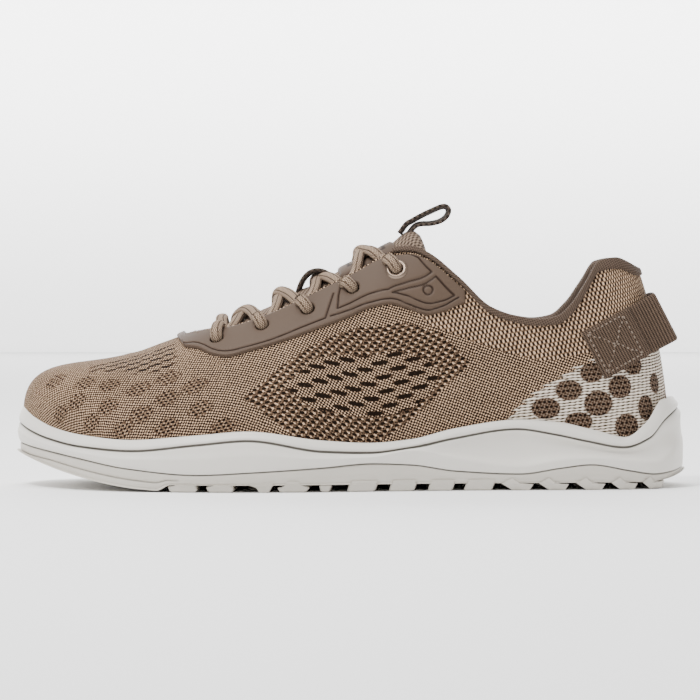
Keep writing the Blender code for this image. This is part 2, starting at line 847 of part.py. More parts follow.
def eyestay(surface, rows=4):
    """Moulded overlay round the throat: both sides in one piece that meets in front of it."""
    first, end = EYESTAY_EDGE.rows[0, 0], EYESTAY_EDGE.rows[-1, 0]
    ats = np.concatenate([np.linspace(first, 0.70, 20), np.linspace(0.712, end, 5)])
    half = angle_at(ats, 1)
    angles = np.concatenate([-half, half[::-1]])

    def low(at):
        return COLLAR_HEIGHT * EYESTAY_EDGE("height", at)

    def high(at):
        margin = THROAT_MARGIN + (CUFF_LIP + 2 * GAP - THROAT_MARGIN) * (1 - ease(at, 0.444, 0.458))
        return top_height(at) - margin

    bottom = t_at_height(angles, low)
    top = np.maximum(t_at_height(angles, high), bottom + 0.004)
    front = np.concatenate([ats, ats[::-1]])
    closing = ease(front, end - 0.022, end)
    bottom = bottom + (np.minimum(1, top) - 0.03 - bottom) * closing
    t = bottom[:, None] + np.linspace(0, 1, rows)[None] * (top - bottom)[:, None]
    t = np.minimum(t, 1)
    around = np.broadcast_to(angles[:, None], t.shape)
    points, out = last(around, t), normal(around, t)
    lifts = (1.8 + 1.0 * ease(front, 0.70, 0.735)) * GAP
    inner = np.array(
        [
            [seated(surface, p, n, lift, 0.0006) for p, n in zip(row, row_out)]
            for row, row_out, lift in zip(points, out, lifts)
        ]
    )
    return shell("eyestay", inner + out * OVERLAY_THICKNESS, inner, "overlay")


def tongue_depth(at):
    """Depth of the tongue below the ridge. The laces press it in where they cross."""
    places = [EYELETS[0][0]] + [cross for _, cross in CROSSINGS]
    press = max(math.exp(-(((at - p) / 0.017) ** 2)) for p in places)
    return TONGUE_SINK + TONGUE_PRESS * press


def tongue_patch(inward, front, end, rows, columns, reach):
    """Grid wrapped over the ridge below the throat. reach gives t at its side edges."""
    across = np.linspace(-1, 1, columns)
    grid = []
    for s in np.linspace(0, 1, rows):
        row = []
        for w in across:
            side = -1 if w < 0 else 1
            at = front + (end - front) * s - 0.030 * s * abs(w) ** 1.6
            angle = float(angle_at(at, side))
            t = 1 - abs(w) * (1 - reach(angle, s))
            row.append(raised(angle, t, -inward(at, abs(w), s)))
        grid.append(row)
    return np.array(grid)


def tongue_side(angle, s):
    """The tongue reaches below the throat's edges, less so at its front end."""
    top = float(t_at_height(angle, top_height)[0])
    return float(down_from(angle, top, TONGUE_WING * (0.5 + 0.5 * s)))


def tongue_outside(at, w, s):
    side = TONGUE_SINK + 0.0030 * float(ease(-at, -0.50, -0.46))
    return tongue_depth(at) * (1 - w * w) + side * w * w


def tongue():
    """Tongue under the throat: thin in front, padded at its top, pressed in by the laces."""
    front, end, rows = 0.790, 0.405, 20
    outer = tongue_patch(tongue_outside, front, end, rows, 9, tongue_side)
    along = np.linspace(0, 1, rows)
    down = np.array([-normal(float(angle_at(front + (end - front) * s, 1)), 1.0) for s in along])
    thick = TONGUE_THIN + (TONGUE_THICK - TONGUE_THIN) * ease(along, 0.45, 0.9)
    return shell("tongue", outer, outer + (down * thick[:, None])[:, None], "knit"), outer


def tongue_tab(padding):
    """Smooth moulded tab on the top front of the tongue, under the last crossing."""
    ahead, across = np.gradient(padding, axis=(0, 1))
    out = unit(np.cross(ahead, across))
    out = out * np.where(out[..., 2:] < 0, -1, 1)
    cover = (slice(13, 18), slice(2, 7))
    low = padding[cover] + out[cover] * GAP
    return shell("tongue_tab", low + out[cover] * TAB_THICKNESS, low, "overlay")


def cuff(angles):
    """Padded collar: a hook that wraps the top edge, with its padding down the inside."""
    half = np.unique(np.round(np.abs(angles), 9))
    half = half[half < float(angle_at(CUFF_START, 1)) + 0.001]
    rings = []
    for angle in np.concatenate([-half[:0:-1], half]):
        t = float(t_at_height(angle, top_height)[0])
        edge, out = last(angle, t), normal(angle, t)
        up = unit(last(angle, t) - last(angle, t - 0.01))
        depth = PAD_DEPTH * float(CUFF_DEPTH("depth", at_of(edge[0])))
        pad = GAP + CUFF_PAD * (0.35 + 0.65 * float(ease(depth, 0.004, 0.020)))
        rings.append(
            [
                wall_point(angle, CUFF_LIP, 1.7 * GAP, False),
                wall_point(angle, CUFF_LIP, CUFF_OUTSIDE, False),
                wall_point(angle, CUFF_LIP / 2, CUFF_OUTSIDE + GAP, False),
                edge + out * CUFF_OUTSIDE * 0.8 + up * CUFF_RISE * 0.5,
                edge - out * 0.0011 + up * CUFF_RISE,
                edge - out * (UPPER_WALL + pad * 0.6) + up * CUFF_RISE * 0.4,
                wall_point(angle, depth * 0.4, -pad, True),
                wall_point(angle, depth * 0.8, -pad * 0.85, True),
                wall_point(angle, depth, -1.7 * GAP, True),
                wall_point(angle, depth * 0.5, -1.7 * GAP, True),
                edge - out * (UPPER_WALL + 1.7 * GAP) + up * GAP,
                edge + out * 1.7 * GAP + up * GAP,
            ]
        )
    return sweep("collar_cuff", np.array(rings), "binding")


def eyelet_ring(name, side):
    """Flanged ring of the top eyelet, whose barrel stands in the hole of eyestay and upper."""
    _, _, centre, out = eyelet_place(len(EYELETS) - 1, side)
    across = unit(np.cross(out, (0.0, 0.3, 1.0)))
    over = np.cross(out, across)
    seat = OVERLAY_THICKNESS + 3.2 * GAP
    bore, flange = RING_BORE / 2, RING_FLANGE / 2
    barrel = RING_HOLE / 2 * math.cos(math.pi / 8) - GAP
    profile = (
        (bore, -UPPER_WALL),
        (barrel, -UPPER_WALL),
        (barrel, seat),
        (flange, seat),
        (flange - 0.0006, seat + RING_HEIGHT),
        (bore + 0.0004, seat + RING_HEIGHT),
        (bore, seat + RING_HEIGHT / 2),
    )
    turns = np.linspace(0, 2 * np.pi, 10, endpoint=False)
    rings = []
    for turn in turns:
        ray = math.cos(turn) * across + math.sin(turn) * over
        rings.append([centre + ray * r + out * h for r, h in profile])
    rings = np.array(rings)
    rows, columns = rings.shape[:2]
    faces = quads(rows, columns, wrap_rows=True, wrap_columns=True)
    return make(name, rings.reshape(-1, 3), faces, "metal")


# Laces


def over_throat(surface, at, side, share, lift):
    """Point above what lies under it, a share of the way from the ridge to the throat's edge."""
    angle = float(angle_at(at, side))
    t = 1 - share * (1 - float(t_at_height(angle, top_height)[0]))
    return seated(surface, last(angle, t), normal(angle, t), lift, 0.012)


def over_eyelet(surface, number, side, lift):
    """Point above the middle of an eyelet."""
    _, _, centre, out = eyelet_place(number, side)
    ring = 4 * GAP + RING_HEIGHT if number == len(EYELETS) - 1 else 0.0
    return seated(surface, centre, out, lift + ring)


def lace(name, surface, path, hidden=False, around=6):
    """A round lace along a path, pushed clear of what lies under it."""
    for _ in range(3):
        for k, point in enumerate(path):
            near = surface.find_nearest(Vector(point))
            short = LACE_DIAMETER / 2 + 3 * GAP - near[3]
            if short > 0:
                path[k] = point + unit(point - np.array(near[0])) * short
    ahead = unit(np.gradient(path, axis=0))
    over = unit(np.cross(ahead, (1.0, 0.0, 0.0)))
    over = over * np.where(over[:, 2:] < 0, -1, 1)
    across = np.cross(over, ahead)
    turn = np.linspace(0, 2 * np.pi, around, endpoint=False)[None, :, None]
    turned = np.cos(turn) * across[:, None] + np.sin(turn) * over[:, None]
    return sweep(name, path[:, None] + LACE_DIAMETER / 2 * turned, "lace", hidden)


def strand(surface, number, side, extra):
    """Lace from the throat's edge beside one eyelet, over the tongue, to the next one opposite."""
    start, cross = CROSSINGS[number]
    ahead = EYELETS[number + 1][0] - cross
    seat = LACE_DIAMETER / 2 + 2 * GAP
    points = [
        over_throat(surface, start, side, 0.66, seat),
        over_throat(surface, (start + cross) / 2, side, 0.34, seat + 0.5 * extra),
        over_throat(surface, cross, -side, 0.0, seat + extra),
        over_throat(surface, cross + 0.26 * ahead, -side, 0.45, seat + 0.9 * extra + 0.0006),
        over_throat(surface, cross + 0.62 * ahead, -side, 1.15, seat + 0.0008),
        over_eyelet(surface, number + 1, -side, seat),
    ]
    return curve_through(points, 8)


def laces(surface):
    """A bar over the first pair of eyelets, then four crossings, each one joined solid."""
    at = EYELETS[0][0]
    seat = LACE_DIAMETER / 2 + 2 * GAP
    bar = [over_eyelet(surface, 0, -1, seat)]
    for side, share in ((-1, 1.0), (-1, 0.5), (1, 0.0), (1, 0.5), (1, 1.0)):
        bar.append(over_throat(surface, at, side, share, seat + 0.0008))
    bar.append(over_eyelet(surface, 0, 1, seat))
    lace("lace_bar", surface, curve_through(bar, 10))
    for number in range(len(EYELETS) - 1):
        name = f"lace_cross_{number + 1}"
        over = strand(surface, number, 1, 0.55 * LACE_DIAMETER)
        under = strand(surface, number, -1, 0.0)
        crossed = lace(name, surface, over)
        join(crossed, lace(name + "_under", surface, under, hidden=True), "UNION")


# Pull loops


def tongue_loop():
    """Loop of narrow tape sewn into the top of the tongue, drawn as shares of its reach."""
    x = x_of(0.4235)
    _, y, top = spine(x)
    root = np.array([x, float(y), float(top) - 0.0008])
    reach = 0.0207
    outline = (
        (-0.03, 0.02),
        (0.11, 0.21),
        (0.232, 0.285),
        (0.42, 0.39),
        (0.628, 0.49),
        (0.84, 0.58),
        (0.947, 0.58),
        (1.00, 0.502),
        (0.947, 0.377),
        (0.82, 0.285),
        (0.628, 0.235),
        (0.42, 0.225),
        (0.29, 0.175),
        (0.16, 0.02),
    )
    points = [root + np.array([reach * a, 0.0, reach * b]) for a, b in outline]
    path = curve_through(points, 22)
    return tape(
        "tongue_pull_loop", path, (0, 1, 0), LOOP_TAPE_WIDTH, LOOP_TAPE_THICKNESS, "webbing"
    )


def lace_keeper(surface):
    """Arch of tape on the tongue, over the third crossing of the lace."""
    ats = (0.583, 0.577, 0.569, 0.558, 0.546, 0.536, 0.529)
    lifts = (0.0, 0.0034, 0.0070, 0.0080, 0.0074, 0.0044, 0.0)
    rest = LOOP_TAPE_THICKNESS / 4 + 1.5 * GAP
    points = [
        over_throat(surface, at, 1, 0.0, rest + lift) for at, lift in zip(ats, lifts)
    ]
    path = curve_through(points, 10)
    return tape("lace_keeper", path, (0, 1, 0), 0.006, LOOP_TAPE_THICKNESS / 2, "webbing")


def heel_webbing(surface):
    """Webbing sewn to both sides of the heel, with a finger's gap behind it."""
    along = np.array([math.cos(WEBBING_TILT), 0.0, math.sin(WEBBING_TILT)])
    wide = np.array([-math.sin(WEBBING_TILT), 0.0, math.cos(WEBBING_TILT)])
    start = np.array([x_of(0.142), 0.0, 0.0568])
    sewn, reach = 0.0235, 0.0366
    middle = RIDGE_SHIFT * float(RIDGE("shift", 0.0))
    widths = np.linspace(-0.5, 0.5, 4) * WEBBING_WIDTH

    def on_upper(run, across, side):
        place = start + along * run + wide * across
        origin = Vector((place[0], side * 0.2, place[2]))
        hit = surface.ray_cast(origin, Vector((0, -side, 0)))
        return hit[0].y + side * 0.0010

    def row(side, run):
        return [(run, on_upper(run, w, side)) for w in widths]

    rows = [row(-1, r) for r in np.linspace(0, sewn, 5)]
    free = np.linspace(0, 1, 9)[1:-1]
    end_low, end_high = row(-1, sewn), row(1, sewn)
    for f in np.concatenate([free, [1.0], 2 - free[::-1]]):
        side, g = (-1, f) if f <= 1 else (1, 2 - f)
        edge = end_low if side < 0 else end_high
        out = []
        for run, y in edge:
            bend = ((run, y), (run + 0.012, y - side * 0.0015), (reach, middle + side * 0.020))
            weights = ((1 - g) ** 3, 3 * g * (1 - g) ** 2, 3 * g * g * (1 - g), g**3)
            ends = bend + ((reach, middle),)
            out.append(tuple(sum(w * p[i] for w, p in zip(weights, ends)) for i in range(2)))
        rows.append(out)
    rows += [row(1, r) for r in np.linspace(sewn, 0, 5)]
    inner = np.array(
        [[start + along * u + wide * w + (0, y, 0) for (u, y), w in zip(r, widths)] for r in rows]
    )
    ahead = np.gradient(inner, axis=0)
    out = unit(np.cross(ahead, np.broadcast_to(wide, ahead.shape)))
    return shell("heel_webbing", inner + out * WEBBING_THICKNESS, inner, "webbing")


for old in list(bpy.data.objects):
    bpy.data.objects.remove(old)

SHOE = bpy.data.objects.new("shoe", None)
bpy.context.scene.collection.objects.link(SHOE)

ANGLES = section_angles()
outsole(ANGLES)
midsole(ANGLES)
insole(ANGLES[::2])
knit = upper(ANGLES)
heel_webbing(surface_of(knit))
overlay = eyestay(surface_of(knit))
holes = eyelet_cutters()
join(knit, holes, "DIFFERENCE")
join(overlay, holes, "DIFFERENCE")
padding, padding_grid = tongue()
tab = tongue_tab(padding_grid)
cuff(ANGLES)
rings = [eyelet_ring("eyelet_lateral", -1), eyelet_ring("eyelet_medial", 1)]
laces(surface_of(knit, overlay, padding, tab, *rings))
tongue_loop()
lace_keeper(surface_of(padding, tab))
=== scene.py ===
"""A low knitted barefoot shoe for the left foot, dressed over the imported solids.

Axes: +Z up, the toe points along -X, and the outer (lateral) side faces -Y. Lengths are in
metres. Pieces follow the order in which such a shoe is put together, from the ground up.
"""

import math

import bmesh
import bpy
import numpy as np
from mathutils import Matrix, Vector
from mathutils.bvhtree import BVHTree
from mathutils.kdtree import KDTree


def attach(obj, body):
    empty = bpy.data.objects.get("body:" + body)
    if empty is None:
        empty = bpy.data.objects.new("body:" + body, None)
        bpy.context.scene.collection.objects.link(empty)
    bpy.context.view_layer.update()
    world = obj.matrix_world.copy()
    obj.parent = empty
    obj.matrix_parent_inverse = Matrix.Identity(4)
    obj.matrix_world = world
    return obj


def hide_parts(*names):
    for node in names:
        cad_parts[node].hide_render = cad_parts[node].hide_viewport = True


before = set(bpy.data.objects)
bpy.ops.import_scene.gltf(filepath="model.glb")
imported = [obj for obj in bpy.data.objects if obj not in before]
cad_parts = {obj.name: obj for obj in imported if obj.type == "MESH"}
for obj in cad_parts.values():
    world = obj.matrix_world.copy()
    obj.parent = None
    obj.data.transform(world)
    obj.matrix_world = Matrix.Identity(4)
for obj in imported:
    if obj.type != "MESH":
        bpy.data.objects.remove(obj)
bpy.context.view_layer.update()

# Outsole: ground rubber moulded as a shallow tray, with a low wall up to the foxing line. Side
# lugs stand out of the wall, hexagonal ones cover the middle, and the toe end is smooth. It is
# glued under the cup.
SOLE_LENGTH = 0.290
HALF_LENGTH = SOLE_LENGTH / 2
BALL_WIDTH = 0.108
RIM_HEIGHT = 0.0385
TOE_SPRING = 0.0142
HEEL_BEVEL = 0.0045
LUG_HEIGHT = 0.0030
LUG_TOP = 0.0052
LUG_DEPTH = 0.0150
OUTSOLE_THICKNESS = 0.0026
OUTSOLE_WALL = 0.0024
MIDSOLE_THICKNESS = 0.0024
SCOOP = 0.0036
GAP = 0.0003
SPRING_START = 0.765
BUMPER_START = 0.765
BEVEL_START = 0.060
SECTIONS = 226
EVEN_INSET = 0.005


class Table:
    """Rows of named columns, read between the rows along a smooth curve that never overshoots."""

    def __init__(self, columns, *rows):
        self.names = columns.split()
        self.rows = np.array(rows, float)

    def __call__(self, column, at):
        knots = self.rows[:, 0]
        values = self.rows[:, self.names.index(column)]
        step = np.diff(knots)
        rise = np.diff(values) / step
        slope = np.concatenate([rise[:1], rise[1:] * 0, rise[-1:]])
        turning = rise[:-1] * rise[1:] > 0
        mean = 2 * rise[:-1] * rise[1:] / np.where(turning, rise[:-1] + rise[1:], 1)
        slope[1:-1] = np.where(turning, mean, 0)
        at = np.clip(at, knots[0], knots[-1])
        i = np.clip(np.searchsorted(knots, at, side="right") - 1, 0, len(step) - 1)
        f = (at - knots[i]) / step[i]
        start = (1 + 2 * f) * (1 - f) ** 2 * values[i] + f * (1 - f) ** 2 * step[i] * slope[i]
        end = f * f * (3 - 2 * f) * values[i + 1] - f * f * (1 - f) * step[i] * slope[i + 1]
        return start + end


# Half widths as shares of half the ball width, at even angles from the heel's back to the toe
OUTLINE = Table(
    "angle lateral medial",
    (0, -0.06, 0.06),
    (15, 0.31, 0.41),
    (30, 0.54, 0.64),
    (45, 0.64, 0.73),
    (60, 0.68, 0.71),
    (75, 0.75, 0.66),
    (90, 0.89, 0.69),
    (105, 0.99, 0.87),
    (120, 0.96, 1.00),
    (135, 0.78, 0.945),
    (150, 0.48, 0.77),
    (165, 0.14, 0.52),
    (180, -0.18, 0.18),
)

# Heights of the lines moulded round the sole, as shares of RIM_HEIGHT: "flare" is the ridge at
# the foot of the heel's scoop
SOLE_LINES = Table(
    "at rim groove foxing flare",
    (0.000, 1.000, 0.890, 0.230, 0.520),
    (0.024, 0.975, 0.760, 0.185, 0.390),
    (0.048, 0.740, 0.560, 0.165, 0.300),
    (0.086, 0.560, 0.462, 0.205, 0.325),
    (0.145, 0.660, 0.535, 0.276, 0.362),
    (0.190, 0.735, 0.605, 0.240, 0.345),
    (0.250, 0.768, 0.668, 0.178, 0.275),
    (0.345, 0.675, 0.570, 0.215, 0.360),
    (0.410, 0.560, 0.472, 0.286, 0.440),
    (0.470, 0.523, 0.422, 0.303, 0.370),
    (0.540, 0.553, 0.440, 0.262, 0.350),
    (0.650, 0.652, 0.560, 0.212, 0.370),
    (0.725, 0.608, 0.512, 0.187, 0.330),
    (0.825, 0.553, 0.442, 0.246, 0.340),
    (0.900, 0.600, 0.478, 0.345, 0.410),
    (0.950, 0.680, 0.552, 0.412, 0.480),
    (0.978, 0.780, 0.625, 0.448, 0.540),
    (1.000, 0.910, 0.712, 0.484, 0.600),
)
WALL_INSETS = Table(
    "at rim groove scoop upper",
    (0.000, 1.00, 0.60, 0.25, 1.68),
    (0.060, 0.98, 0.78, 0.80, 1.75),
    (0.200, 0.90, 0.82, 1.00, 1.85),
    (0.330, 0.80, 0.68, 0.70, 1.80),
    (0.400, 0.72, 0.45, 0.15, 1.72),
    (0.700, 0.64, 0.30, 0.06, 1.62),
    (0.900, 0.58, 0.16, 0.10, 1.35),
    (1.000, 0.52, 0.06, 0.12, 1.02),
)


def at_of(x):
    """Share of the sole's length from the heel at x."""
    return (HALF_LENGTH - x) / SOLE_LENGTH


def x_of(at):
    return HALF_LENGTH - at * SOLE_LENGTH


def ease(at, start, end):
    f = np.clip((at - start) / (end - start), 0, 1)
    return f * f * (3 - 2 * f)


def unit(v):
    return v / np.maximum(np.linalg.norm(v, axis=-1, keepdims=True), 1e-12)


closed_ring = np.concatenate([OUTLINE.rows[:, 2], -OUTLINE.rows[-2:0:-1, 1]])
SERIES = np.fft.rfft(closed_ring) / len(closed_ring)


def wave(angle, turned=False):
    """Side distance of the outline at an angle as a closed wave, or its slope there."""
    k = np.arange(1, len(SERIES) - 2)
    turn = np.exp(1j * np.multiply.outer(angle, k))
    terms = turn * SERIES[k] * (1j * k if turned else 1)
    return 2 * terms.real.sum(-1) + (0 if turned else SERIES[0].real)


full_turn = np.linspace(0, 2 * np.pi, 720, endpoint=False)
WAVE_LOW, WAVE_HIGH = wave(full_turn).min(), wave(full_turn).max()


def plan(angle, inset):
    """(x, y) of the sole's outline, moved in by inset. Angles below zero are lateral."""
    scale = BALL_WIDTH / (WAVE_HIGH - WAVE_LOW)
    y = (wave(angle) - (WAVE_HIGH + WAVE_LOW) / 2) * scale
    slope_x, slope_y = -HALF_LENGTH * np.sin(angle), wave(angle, turned=True) * scale
    out_y = -slope_x / np.hypot(slope_x, slope_y)
    return (HALF_LENGTH - inset) * np.cos(angle), y - inset * out_y


def upper_inset(angle):
    return SCOOP * WALL_INSETS("upper", (1 - np.cos(angle)) / 2)


def base(at):
    """Height of the tread's lowest surface: flat, with toe spring and a bevelled heel."""
    toe = np.clip((at - SPRING_START) / (1 - SPRING_START), 0, 1) ** 1.8
    heel = np.clip((BEVEL_START - at) / BEVEL_START, 0, 1) ** 2
    return TOE_SPRING * toe + HEEL_BEVEL * heel


def sole_levels(at):
    """Heights of the sole's layers: underside between lugs, outsole top and footbed."""
    low = base(at)
    bumper = ease(at, BUMPER_START, BUMPER_START + 0.02)
    under = low + LUG_HEIGHT * (1 - 0.85 * bumper)
    top = low + LUG_HEIGHT + OUTSOLE_THICKNESS - LUG_HEIGHT * ease(at, BUMPER_START, 1)
    return under, top, top + GAP + MIDSOLE_THICKNESS


def run_along(points, axis=0):
    """Length along the lines of points that follow one axis of a grid, each from 0."""
    points = np.asarray(points, float)
    step = np.diff(points, axis=axis, prepend=points.take([0], axis))
    return np.linalg.norm(step, axis=-1).cumsum(axis)


def even_angles(count):
    """Angles round the outline, evenly apart along it and alike on both sides."""
    half = np.linspace(0, np.pi, 2000)
    run = sum(run_along(np.column_stack(plan(side * half, EVEN_INSET))) for side in (-1, 1))
    half = np.interp(np.linspace(0, run[-1], count), run, half)
    return np.concatenate([half, -half[-2:0:-1]])


def quads(rows, columns, wrap_rows=False, wrap_columns=False):
    """Faces of a grid of points, numbered row by row."""
    i = np.arange(rows if wrap_rows else rows - 1)[:, None]
    j = np.arange(columns if wrap_columns else columns - 1)[None]
    i2, j2 = (i + 1) % rows, (j + 1) % columns
    ring = [i * columns + j, i2 * columns + j, i2 * columns + j2, i * columns + j2]
    return np.stack(ring, -1).reshape(-1, 4).tolist()


def curved(a, b, c, d, f):
    """Point at share f of the way from b to c, on the smooth curve through a, b, c and d."""
    bent = 2 * b + (c - a) * f + (2 * a - 5 * b + 4 * c - d) * f * f
    return (bent + (3 * b - a - 3 * c + d) * f**3) / 2


def smooth_rows(rows, steps):
    """Points between the given ones along a smooth curve. A point given twice makes a corner."""
    rows = [np.asarray(r, float) for r in rows]
    made = []
    for k in range(len(rows) - 1):
        b, c = rows[k], rows[k + 1]
        if np.allclose(b, c):
            continue
        a = rows[k - 1] if k and not np.allclose(rows[k - 1], b) else 2 * b - c
        d = rows[k + 2] if k + 2 < len(rows) and not np.allclose(rows[k + 2], c) else 2 * c - b
        made += [curved(a, b, c, d, f) for f in np.linspace(0, 1, steps, endpoint=False)]
    made.append(rows[-1])
    return np.array(made)


def dress(name, points, faces, finish, replaced=(), marks=None, sharp=40):
    """A mesh piece that rides on the shoe. Marks are values on its points for its material."""
    mesh = bpy.data.meshes.new(name)
    mesh.from_pydata(np.asarray(points, float).reshape(-1, 3).tolist(), [], faces)
    for mark, values in (marks or {}).items():
        values = np.asarray(values, np.float32)
        vector = values.ndim > 1 and values.shape[-1] == 3
        layer = mesh.attributes.new(mark, "FLOAT_VECTOR" if vector else "FLOAT", "POINT")
        layer.data.foreach_set("vector" if vector else "value", values.ravel())
    work = bmesh.new()
    work.from_mesh(mesh)
    bmesh.ops.recalc_face_normals(work, faces=work.faces)
    work.to_mesh(mesh)
    work.free()
    mesh.shade_smooth()
    mesh.set_sharp_from_angle(angle=math.radians(sharp))
    mesh.materials.append(finish)
    made = bpy.data.objects.new(name, mesh)
    bpy.context.scene.collection.objects.link(made)
    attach(made, "root")
    if replaced:
        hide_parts(*replaced)
    return made


class Nodes:
    """Shader nodes written as calls: each call adds one node and gives its output."""

    def __init__(self, tree):
        self.tree = tree

    def add(self, kind, inputs, output=0, **settings):
        node = self.tree.nodes.new(kind)
        for name, value in settings.items():
            setattr(node, name, value)
        for key, value in inputs.items():
            if isinstance(value, bpy.types.NodeSocket):
                self.tree.links.new(value, node.inputs[key])
            else:
                node.inputs[key].default_value = value
        return node.outputs[output]

    def math(self, operation, a, b=0.0, clamp=False):
        return self.add("ShaderNodeMath", {0: a, 1: b}, operation=operation, use_clamp=clamp)

    def mark(self, name, output="Fac"):
        return self.add("ShaderNodeAttribute", {}, output, attribute_name=name)

    def between(self, value, low, high, start=0.0, end=1.0):
        """Smooth step of a value from low to high."""
        inputs = {0: value, 1: low, 2: high, 3: start, 4: end}
        return self.add("ShaderNodeMapRange", inputs, interpolation_type="SMOOTHSTEP")

    def blend(self, share, first, second):
        """Colour between two colours."""
        inputs = {0: share, 6: first, 7: second}
        return self.add("ShaderNodeMix", inputs, 2, data_type="RGBA")

    def mix(self, share, first, second):
        """Value between two values."""
        return self.add("ShaderNodeMix", {0: share, 2: first, 3: second}, data_type="FLOAT")

    def noise(self, place, scale, detail=2.0, output=0):
        inputs = {"Vector": place, "Scale": scale, "Detail": detail}
        return self.add("ShaderNodeTexNoise", inputs, output)

    def on_object(self):
        """Place in the object's own metres."""
        return self.add("ShaderNodeTexCoord", {}, "Object")

    def group(self, tree, inputs, output):
        return self.add("ShaderNodeGroup", inputs, output, node_tree=tree)


def effect(name, inputs, outputs):
    """A node group with named sockets, and its first and last nodes."""
    tree = bpy.data.node_groups.new(name, "ShaderNodeTree")
    kinds = {"value": "NodeSocketFloat", "vector": "NodeSocketVector", "colour": "NodeSocketColor"}
    for way, sockets in (("INPUT", inputs), ("OUTPUT", outputs)):
        for socket, kind in sockets.items():
            tree.interface.new_socket(socket, in_out=way, socket_type=kinds[kind])
    return tree, tree.nodes.new("NodeGroupInput").outputs, tree.nodes.new("NodeGroupOutput").inputs


def finish(name, colour, roughness, **settings):
    """A new material, its nodes, and its Principled shader with plain values set."""
    made = bpy.data.materials.new(name)
    made.use_nodes = True
    made.diffuse_color = (*colour, 1)
    shader = made.node_tree.nodes["Principled BSDF"]
    shader.inputs["Base Color"].default_value = (*colour, 1)
    shader.inputs["Roughness"].default_value = roughness
    for key, value in settings.items():
        shader.inputs[key.replace("_", " ")].default_value = value
    return made, Nodes(made.node_tree), shader


def relief(nodes, shader, height, distance, strength=1.0):
    """Bump from a height of 0 to 1 that stands for distance."""
    inputs = {"Height": height, "Distance": distance, "Strength": strength}
    nodes.tree.links.new(nodes.add("ShaderNodeBump", inputs), shader.inputs["Normal"])


# Moulded rubber has a fine matt grain from its steel mould, and a faint uneven tone
MOULDED, given, result = effect(
    "moulded_grain",
    {"Grain size": "value", "Tone": "value"},
    {"Height": "value", "Shade": "value"},
)
n = Nodes(MOULDED)
place = n.on_object()
fine = n.noise(place, n.math("DIVIDE", 1.0, given["Grain size"]), 3.0)
broad = n.noise(place, 38.0)
MOULDED.links.new(fine, result["Height"])
swing = n.math("MULTIPLY", n.math("SUBTRACT", broad, 0.5), given["Tone"])
MOULDED.links.new(n.math("ADD", swing, 1.0), result["Shade"])


MOULDED_TONE = 0.10
RUBBER_GRAIN = 0.0006
RUBBER_RELIEF = 0.00008
# Share of the rubber's colour kept in the painted shade of its grooves and joints
PAINTED_LINE_SHADE = (0.20, 0.195, 0.18)
RUBBER_GLOSS = 0.35


def moulded_finish(name, colour, roughness, gloss, grain, depth):
    """Moulded material, its nodes, its shader and its toned colour. The grain is its relief."""
    made, n, shader = finish(name, colour, roughness, Specular_IOR_Level=gloss)
    inputs = {"Grain size": grain, "Tone": MOULDED_TONE}
    both = {0: 1.0, 6: (*colour, 1), 7: n.group(MOULDED, inputs, "Shade")}
    toned = n.add("ShaderNodeMix", both, 2, data_type="RGBA", blend_type="MULTIPLY")
    relief(n, shader, n.group(MOULDED, inputs, "Height"), depth, 0.5)
    return made, n, shader, toned


def shaded(colour, shares):
    """Darker colour, with a share kept of each of its red, green and blue."""
    return (*(c * s for c, s in zip(colour, shares)), 1)


def rubber_finish(name, colour, roughness):
    """Off-white rubber. Its one mark darkens the bottoms of moulded grooves and the joint of cup
    and tray with painted shade.
    """
    made, n, shader, toned = moulded_finish(
        name, colour, roughness, RUBBER_GLOSS, RUBBER_GRAIN, RUBBER_RELIEF
    )
    # Painted shade along the grooves and the joint of cup and tray
    with_painted_shade = n.blend(n.mark("painted_shade"), toned, shaded(colour, PAINTED_LINE_SHADE))
    n.tree.links.new(with_painted_shade, shader.inputs["Base Color"])
    return made


# Outer face of each kind of side lug, as shares of its length and height
LUG_FACES = {
    "block": ((0.00, 0.0), (0.86, 0.0), (1.00, 1.0), (0.14, 1.0)),
    "peak": ((0.35, 0.0), (0.87, 0.0), (1.00, 0.50), (0.56, 0.54), (0.33, 1.02), (0.00, 0.58)),
    "wedge": ((0.14, 0.0), (0.82, 0.0), (1.00, 0.62), (0.00, 0.62)),
    "crown": (
        (0.10, 0.0), (0.86, 0.0), (1.00, 0.44), (0.70, 0.52), (0.66, 1.00), (0.30, 1.00),
        (0.28, 0.47), (0.00, 0.42),
    ),
    "hook": ((0.42, 0.0), (0.78, 0.0), (1.00, 0.90), (0.00, 0.75), (0.02, 0.64), (0.35, 0.45)),
    "step": (
        (0.10, 0.0), (0.94, 0.0), (1.00, 0.38), (0.85, 0.78), (0.44, 0.78), (0.40, 0.57),
        (0.00, 0.50),
    ),
}
# Front and back of each side lug as shares of the sole's length, and its kind
SIDE_LUGS = (
    (0.035, 0.069, "peak"),
    (0.077, 0.116, "peak"),
    (0.125, 0.168, "peak"),
    (0.179, 0.223, "peak"),
    (0.231, 0.278, "peak"),
    (0.286, 0.334, "block"),
    (0.345, 0.387, "block"),
    (0.401, 0.444, "block"),
    (0.458, 0.505, "block"),
    (0.527, 0.545, "wedge"),
    (0.558, 0.606, "crown"),
    (0.609, 0.649, "hook"),
    (0.668, 0.709, "step"),
    (0.721, 0.765, "step"),
)
TOE_LUGS = ((0.790, 0.826), (0.850, 0.884), (0.905, 0.935))
# The nose of a peaked lug: its place on the face, and how far it stands out
PEAK_NOSE = (0.36, 0.50, 0.0009)
LUG_BEVEL = 0.0005
LUG_LEAN = 0.0010
LUG_SPACE = 0.0020
LUG_SKEW = 0.0030
LUG_SEAT = 0.0010
LUG_SHORTEST = 0.02
MIDDLE_EDGE = 0.0035
MIDDLE_WIDE = 0.03
